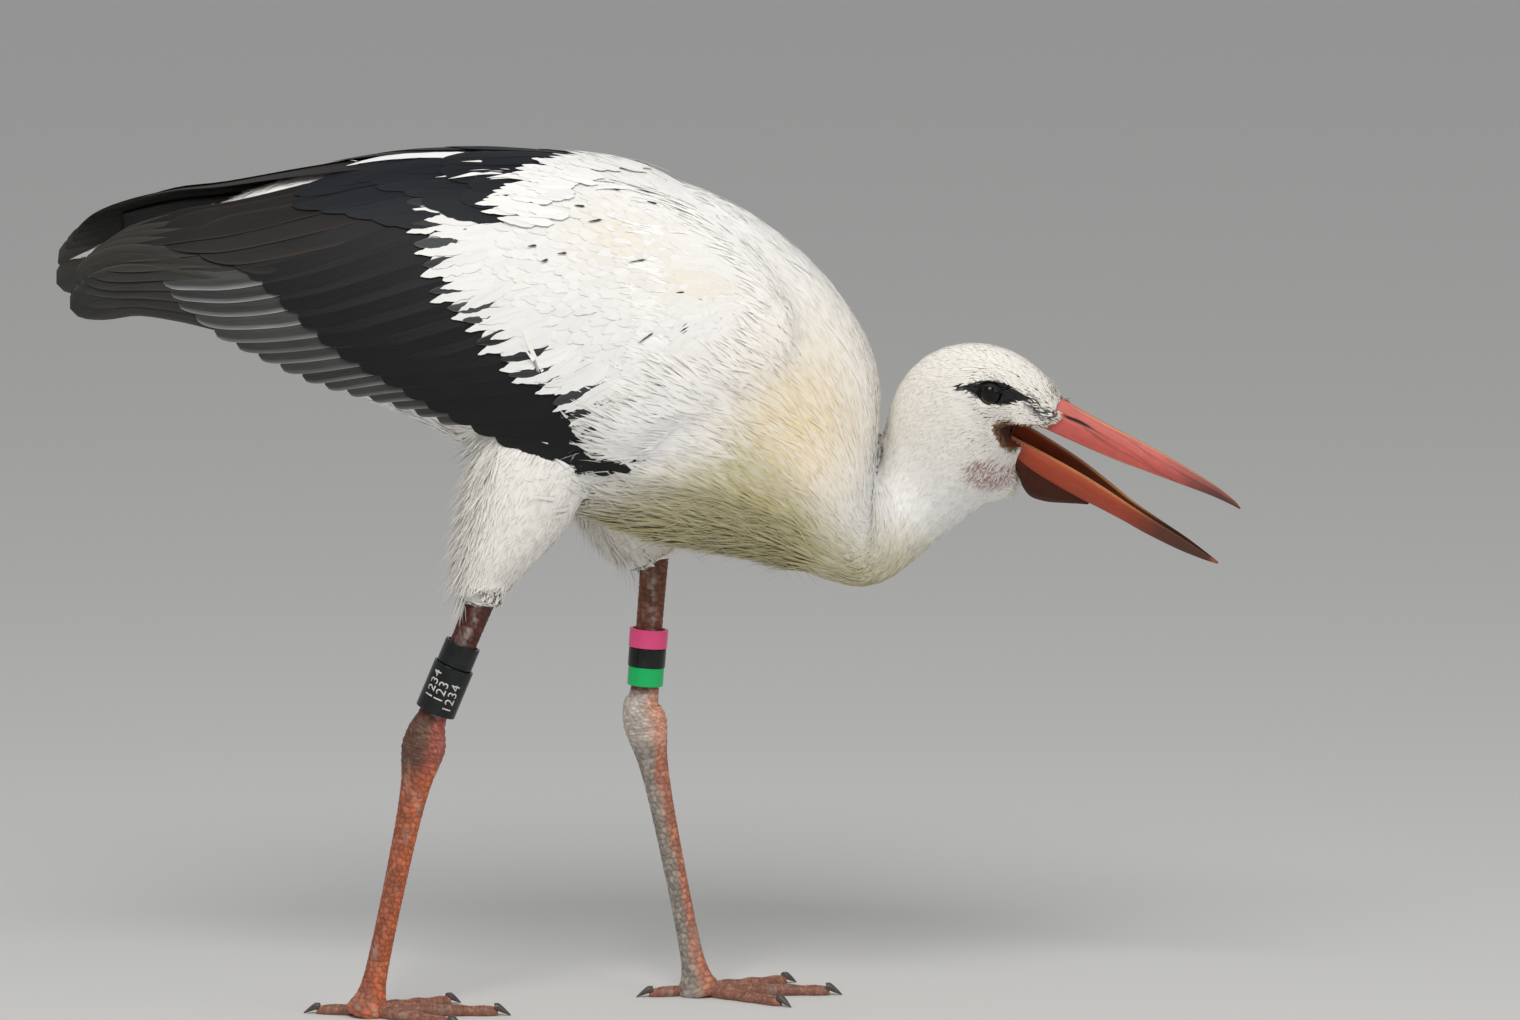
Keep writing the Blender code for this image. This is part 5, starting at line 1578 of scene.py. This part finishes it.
black_coat = plumage("black_plumage", {"Specular IOR Level": 0.22}, 0.9, 0.4, 0.35, 0.7), "black_plumage"
lining = Finish("wing_lining", {"Roughness": 0.7})
lining_noise = lining.noise((40.0, 40.0, 260.0), 4.0)
lining_material = lining.feed({
    "Base Color": lining.mixed(lining_noise, (0.012, 0.012, 0.013), (0.06, 0.06, 0.062)),
    "Normal": lining.bump(lining_noise, 0.001, 0.8),
})

# Where the white of a wing ends, as x by share: behind the black shoulder feathers above 0.3,
# and a slanting row of covert tips below.
WHITE_LOWER = (
    (0.41, -166), (0.51, -157), (0.57, -150), (0.62, -128), (0.67, -113), (0.72, -91),
    (0.77, -72), (0.84, -61), (0.91, -46), (0.99, -39), (1.03, -9),
)
WHITE_END = (
    (-0.2, -20), (-0.14, -31), (0.04, -76), (0.13, -91), (0.22, -105), (0.285, -112), (0.3, -171),
    (0.33, -172),
) + WHITE_LOWER


def white_end(share):
    return np.interp(share, *np.array(WHITE_END, float).T)


def white_slope(share):
    """Radians that white coverts point below the wing's length, by share."""
    return np.radians(np.interp(share, (0, 0.33, 0.5, 0.95), (6, 10, 21, 30)))


def stepped(tips, slope, length):
    """Roots that lie length mm up along the slope from the tips."""
    ahead = np.cos(slope) * length
    return np.stack([tips[:, 0] + ahead, tips[:, 1] - np.sin(slope) * length / SHARE_LENGTH], -1)


for name, side in (("right", -1), ("left", 1)):
    own = f"wing_{name}_"
    # lining: the outer form 5 mm and 6.5 mm in, joined round its rim
    lined = []
    for depth_in in (-5.0, -6.5):
        x = np.linspace(-30, -372, 60)[:, None]
        s = np.linspace(0.12, 0.93, 30)[None]
        lined.append(wing_at(x + 0 * s, s + 0 * x, side, depth_in + 0 * x * s))
    ring = np.concatenate([lined[0], lined[1][:, ::-1]], axis=1)
    points, quads, _ = capped(from_bird(ring))
    points = points[:-2]
    k = np.arange(29)
    first = np.stack([k, 59 - k, 58 - k, k + 1], 1)
    final = (first + 59 * 60)[:, ::-1]
    quads = np.concatenate([quads, first, final])
    quads = quads[:, ::-1] if side > 0 else quads
    add_piece(own + "lining", points, [quads], lining_material, "black_plumage")

    # the black rows, from below up. Each: tips, roots, how many, half width, mm, heights, colour
    # and its spread, then the fringe's start, colour, spread and edges, and the vane's settings
    top = 0.17 if side < 0 else -0.11  # the right wing's top edge droops
    for label, tips, roots, count, half, lifts, tone, spread, fringe, settings in (
        ("primary_feathers", ((-396, top + 0.14), (-410, 0.52), (-420, 0.78), (-421, 0.93)),
         ((-190, top + 0.06), (-235, 0.62)), 7, 20.0, (-4.5, -2.2), PRIMARY_GREY, 0.08,
         (0.8, (0.048, 0.045, 0.038), 0.12, "both"),
         {"shoulder": 0.78, "power": 2.1, "split": 0.55, "rows": 22, "tilt": 0.02, "bow": 0.02,
          "replaced": (own + "primaries",)}),
        ("secondary_feathers",
         ((-352, 0.7), (-340, 0.85), (-313, 0.925), (-286, 0.945), (-250, 0.975), (-200, 0.99), (-150, 1.0)),
         ((-215, 0.42), (-190, 0.6), (-150, 0.75), (-100, 0.9)), 15, 9.5, (-3.5, -1.6),
         SECONDARY_GREY, 0.15, (0.76, SILVER, 0.2, "lower"),
         {"shoulder": 0.86, "power": 2.6, "split": 0.62, "rows": 20, "tilt": 0.1, "bow": -0.012,
          "replaced": (own + "secondaries",)}),
        ("tertial_feathers", ((-382, top + 0.05), (-350, 0.31), (-303, 0.44)),
         ((-150, top - 0.05), (-165, 0.3)), 4, (18.0, 21.0, 22.0, 19.0), (-2.6, -0.5),
         BROWN_BLACK, 0.08, (0.88, (0.03, 0.021, 0.016), 0.12, "both"),
         {"shoulder": 0.74, "power": 2.2, "rows": 22, "tilt": 0.02, "bow": 0.01}),
        # the greater coverts' lighter edges are painted sheen
        ("greater_coverts",
         ((-303, 0.47), (-263, 0.65), (-226, 0.78), (-167, 0.91), (-133, 0.965), (-70, 1.02), (-20, 1.04)),
         ((-140, 0.22), (-125, 0.4), (-100, 0.58), (-40, 0.8), (0, 0.95), (30, 0.99)), 19, 12.5,
         (-2.2, -0.3), BLACK, 0.08, (0.88, (0.018, 0.018, 0.02), 0.12, "both"),
         {"shoulder": 0.84, "power": 2.3, "split": 0.55, "rows": 20, "tilt": 0.04, "bow": -0.008}),
    ):
        f = steps(count)
        tint = tones(tone, count, spread)
        start, edge_tone, edge_spread, edges = fringe
        wing_vanes(
            own + label, side, along_line(roots, f), along_line(tips, f), half, lifts, tint, black_coat,
            fringe=(start, tones(edge_tone, count, edge_spread), edges), **settings,
        )

    # white coverts: loose tufts over the whole arm, then two rows of pointed feathers, with dark grey
    # vanes under the first row that show between their tips along the black
    x, s = np.meshgrid(np.arange(-172, 68, 6.2), np.linspace(-0.17, 1.0, 47))
    x, s = x.ravel() + chance.uniform(-3.4, 3.4, x.size), s.ravel() + chance.uniform(-0.014, 0.014, x.size)
    kept = x > white_end(s) + 9
    x, s = x[kept], s[kept]
    slope = white_slope(s) + chance.normal(0, 0.09, len(x))
    tips = np.stack([x, s], -1)
    long = chance.uniform(26, 36, len(x))
    roots = stepped(tips, slope, long)
    seed = chance.random(len(x))
    tint = markings(from_bird(wing_at(x, s, side)), np.full(len(x), 6.0), seed)
    buff = np.exp(-(((x + 20) / 34) ** 2) - ((s - 0.3) / 0.1) ** 2)
    buff = buff + np.exp(-(((x - 28) / 26) ** 2) - ((s - 0.42) / 0.07) ** 2)
    # the wing's white is scaled by 0.93 as painted shade, so its top, which takes the most light, is no
    # brighter than the body
    tint = blend(tint, CREAM, 0.32 * np.clip(buff, 0, 1) * (seed < 0.7)) * 0.93
    wing_vanes(
        own + "lesser_coverts", side, roots, tips, chance.uniform(4.2, 7.0, len(x)), (-1.6, 0.0), tint,
        white_coat, shoulder=0.45, power=1.7, rows=9, thick=0.15, section=COVERT_SECTION, ragged=0.25,
        settle=(8, 50, 5.0),
    )
    for row, (count, back, long, half, high) in enumerate(
        ((17, 0.0, 52.0, 8.2, 0.3), (21, 14.0, 44.0, 6.6, 0.9))
    ):
        f = (np.arange(count) + 0.5 * row) / (count - 1) * 0.985
        ends = along_line(((-174, 0.3), *(place[::-1] for place in WHITE_LOWER)), f)
        ends[:, 0] += back + chance.normal(0, 3.4, count)
        ends[:, 1] += chance.normal(0, 0.006, count)
        slope = white_slope(ends[:, 1]) + chance.normal(0, 0.07, count)
        roots = stepped(ends, slope, long * chance.uniform(0.9, 1.1, count))
        # these whites are scaled by 0.94 as painted shade, as over the arm
        white = tones(WHITE, count, 0.02) * 0.94
        if row == 0:
            dark = stepped(ends, slope, chance.uniform(-3.5, 2.5, count))
            dark[:, 1] -= 0.029
            wing_vanes(
                own + "covert_bases", side, roots, dark, half * chance.uniform(0.5, 0.8, count), (-1.0, 0.45),
                tones((0.036, 0.037, 0.039), count, 0.5), black_coat, shoulder=0.55, power=1.6,
                rows=12, tilt=0.02, fringe=(0.85, tones((0.13, 0.13, 0.13), count, 0.3), "both"), ragged=0.3,
            )
        wing_vanes(
            own + f"white_coverts_{row + 1}", side, roots, ends, half * chance.uniform(0.8, 1.15, count),
            (-0.6, high), white, white_coat, shoulder=0.4, power=1.3, rows=14, tilt=0.06, ragged=0.5,
        )

    # a few dark ticks, narrow dark vanes, on the white
    count = 16
    ends = np.column_stack([chance.uniform(-110, 40, count), chance.uniform(0.06, 0.62, count)])
    slope = white_slope(ends[:, 1]) + chance.normal(0, 0.12, count)
    wing_vanes(
        own + "dark_ticks", side, stepped(ends, slope, chance.uniform(6, 15, count)), ends,
        chance.uniform(0.5, 1.0, count), (0.9, 1.3), tones((0.05, 0.05, 0.055), count, 0.3), black_coat,
        shoulder=0.4, power=1.4, rows=7, thick=0.2, section=TUFT_SECTION, ragged=0.4,
    )

    # black shoulder feathers, three uneven rows, the upper ones on top, then white tips over
    # their roots
    edge = 0.1 if side < 0 else -0.07
    for row, (start, end, count, half) in enumerate((
        (((-95, 0.3), (-85, 0.18), (-60, 0.04), (-45, -0.05)),
         ((-178, 0.315), (-245, 0.24), (-262, 0.17), (-236, edge)), 7, 15.5),
        (((-80, 0.25), (-66, 0.1), (-46, -0.02), (-38, -0.05)),
         ((-150, 0.285), (-196, 0.2), (-205, 0.12), (-180, edge)), 7, 13.5),
        (((-70, 0.22), (-55, 0.08), (-40, -0.02), (-31, -0.05)),
         ((-124, 0.265), (-150, 0.15), (-150, 0.08), (-125, edge - 0.03)), 8, 11.5),
    )):
        f = steps(count)
        roots, tips = along_line(start, f), along_line(end, f)
        tips = tips + np.column_stack([chance.normal(0, 8.0, count), chance.normal(0, 0.01, count)])
        tips[0, 0] = end[0][0]
        wing_vanes(
            own + f"shoulder_feathers_{row + 1}", side, roots, tips, half * chance.uniform(0.85, 1.15, count),
            (-2.0 + 0.5 * row, 0.5 + 0.45 * row), tones(BLUE_BLACK, count, 0.06), black_coat,
            shoulder=0.58, power=1.9, rows=16, tilt=0.02,
            # the lighter bluish edges are painted sheen
            fringe=(0.9, tones((0.013, 0.0155, 0.021), count), "both"),
            bow=chance.normal(0, 0.006, count), ragged=0.1,
        )
    if side < 0:
        # white rump feathers bared in a thin wedge between the two wings
        ends = along_line(((-218, -0.005), (-190, 0.02), (-152, 0.035)), steps(8))
        wing_vanes(
            own + "rump_feathers", side, ends + (70, -0.02), ends, 5.5, (-0.2, 1.2), tones(WHITE, 8, 0.02),
            white_coat, shoulder=0.4, power=1.5, rows=12, thick=0.25, section=COVERT_SECTION, ragged=0.3,
        )
    count = 96
    line = ((-46, -0.12), (-55, -0.05), (-78, 0.04), (-93, 0.13), (-108, 0.22), (-120, 0.295))
    ends = along_line(line, np.tile(steps(32), 3))
    ahead = chance.normal(0, 5.0, count) + np.repeat((0, 13, 26), 32)
    ends = ends + np.column_stack([ahead, chance.normal(0, 0.006, count)])
    slope = np.radians(chance.normal(5, 7, count))
    wing_vanes(
        own + "white_tips", side, stepped(ends, slope, 30.0), ends, chance.uniform(2.8, 5.2, count),
        (1.3, 2.6), tones(WHITE, count, 0.02) * 0.95, white_coat, shoulder=0.4, power=1.4, rows=10,
        thick=0.25, section=COVERT_SECTION, ragged=0.4,
    )

# ---------------------------------------------------------------- tail
# Twelve square-ended white feathers, closed into a narrow stack between the wings' tips with the
# middle pair on top, their ends painted grey as painted shade under the wings' tips, and rows of
# shorter coverts: those over their roots painted dark grey as painted shade deep between the wings,
# and white ones under them.

# Middle line of the closed tail: x, z, half width, half thickness, mm.
TAIL_LINE = (
    (-245, 594, 18, 8), (-262, 591, 20, 7), (-300, 588, 24, 6), (-350, 578, 26, 4), (-400, 565, 25, 2.5),
    (-424, 557, 22, 1.5)
)
TAIL_FINE = smooth_rows(TAIL_LINE, 80)[::-1]


def tail_vanes(name, aside, roots, tips, half, high, shoulder, power, rows, tint, ragged):
    """Vanes along the tail's middle line. aside is each one's place across, -1 to 1; high its
    height, as a share of the half thickness at its root and tip; roots and tips are x in mm."""
    count = len(aside)
    t = steps(rows)
    x = roots[:, None] + (tips - roots)[:, None] * t
    z, wide, thick = (np.interp(x, TAIL_FINE[:, 0], TAIL_FINE[:, k]) for k in (1, 2, 3))
    raised = high[0] + (high[1] - high[0]) * t
    centres = np.stack(
        [x, aside[:, None] * wide * 0.62, z + thick * raised * (1 - 0.5 * aside[:, None] ** 2)], -1
    )
    ups = unit(np.stack([0 * x + 0.2, aside[:, None] * 0.5 + 0 * x, 0 * x + math.copysign(1, high[0])], -1))
    halves = half[:, None, None] * vane_outline(t, shoulder, power)[:, None] * MM
    halves = halves * (1 - ragged * chance.random((count, rows, 2)) ** 2)
    bake = np.stack([0.1 + 0.8 * (roots + 430) / 250, 0.5 + 0.4 * aside], 1)
    return vanes(
        name, from_bird(centres), ups, halves, 0.5 * MM, half * 0.12 * MM, VANE_SECTION, tint, white_coat,
        bake
    )


aside = np.array((-1, 1, -0.82, 0.82, -0.64, 0.64, -0.46, 0.46, -0.28, 0.28, -0.1, 0.1))
over = 1 - np.abs(aside)
t = steps(20)
# the feathers' ends are painted grey: painted shade where they lie under the wings' tips
shaded_tip_share = ease(0.8, 1.0, t)[None, :, None] * np.ones((12, 1, 1))
tint = np.array(WHITE) * 0.96 * (1 - shaded_tip_share) + np.array((0.42, 0.41, 0.39)) * shaded_tip_share
roots, tips = np.full(12, -250.0), -408 - 15 * over + chance.normal(0, 1.5, 12)
made = tail_vanes(
    "tail_feathers", aside, roots, tips, np.full(12, 9.5), (0.2, 0.9), 0.86, 2.4, 20, tint, 0.12
)
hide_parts("tail")
for label, high, reach in (("over", (1.0, 1.1), 95.0), ("under", (-1.1, -1.2), 75.0)):
    count = 26
    aside = chance.uniform(-1, 1, count)
    tips = -300 - (reach - 50) * chance.uniform(0.2, 1.0, count)
    half = chance.uniform(5, 7.5, count)
    # the coverts over the tail are painted dark grey, painted shade deep in the gap between the wings
    tint = tones(np.array(WHITE) * (0.3 if label == "over" else 1), count, 0.08)
    tail_vanes("tail_coverts_" + label, aside, tips + 52, tips, half, high, 0.5, 1.6, 12, tint, 0.3)

# ---------------------------------------------------------------- floor, light and camera
# A plain pale studio floor that runs on as the backdrop, a broad soft key light from above in
# front of the bird's chest, a weak fill, and a long lens a little above the floor.

FLOOR_HALF = 40.0
LENS, SENSOR = 300.0, 36.0
FRAME_WIDTH = 1.1248  # m, what the picture takes in at the bird
LOOK_AT = np.array((86.95, 0.0, 372.1))  # mm, in the tables' frame
ELEVATION = math.radians(8)

floor_mesh = bpy.data.meshes.new("studio_floor")
corner = np.array(((-1, -1, 0), (1, -1, 0), (1, 1, 0), (-1, 1, 0))) * FLOOR_HALF
floor_mesh.from_pydata(corner.tolist(), [], [(0, 1, 2, 3)])
floor_finish = Finish("studio_floor", {"Base Color": (0.66, 0.66, 0.65, 1), "Roughness": 0.9})
floor_mesh.materials.append(floor_finish.material)
floor = new_object("studio_floor", floor_mesh)
floor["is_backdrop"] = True

world = bpy.data.worlds.new("studio")
world.use_nodes = True
world.node_tree.nodes["Background"].inputs["Color"].default_value = (0.99, 0.99, 1.0, 1)
world.node_tree.nodes["Background"].inputs["Strength"].default_value = 0.42
bpy.context.scene.world = world
bpy.context.scene.view_settings.view_transform = "Standard"


def soft_light(name, place, target, size, power, colour):
    """A square area light at place, turned to target."""
    lamp = bpy.data.lights.new(name, "AREA")
    lamp.size, lamp.energy, lamp.color = size, power, colour
    holder = new_object(name, lamp)
    holder.location = place
    away = Matrix.Translation(place).to_translation() - Matrix.Translation(target).to_translation()
    holder.rotation_euler = away.to_track_quat("Z", "Y").to_euler()


bird_middle = (0.0, 0.0, 0.45)
soft_light("key", (-0.5, -2.3, 3.0), bird_middle, 1.5, 71.0, (1.0, 0.985, 0.955))
soft_light("fill", (2.6, -2.0, 2.0), bird_middle, 2.0, 21.0, (1.0, 0.99, 0.975))

camera = new_object("camera", bpy.data.cameras.new("camera"))
camera.data.lens, camera.data.sensor_width = LENS, SENSOR
away = np.array((0.0, -math.cos(ELEVATION), math.sin(ELEVATION)))
camera.location = from_bird(LOOK_AT) + away * FRAME_WIDTH * LENS / SENSOR
camera.rotation_euler = (math.pi / 2 - ELEVATION, 0, 0)
camera.data.clip_end = 200.0
bpy.context.scene.camera = camera

low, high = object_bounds()
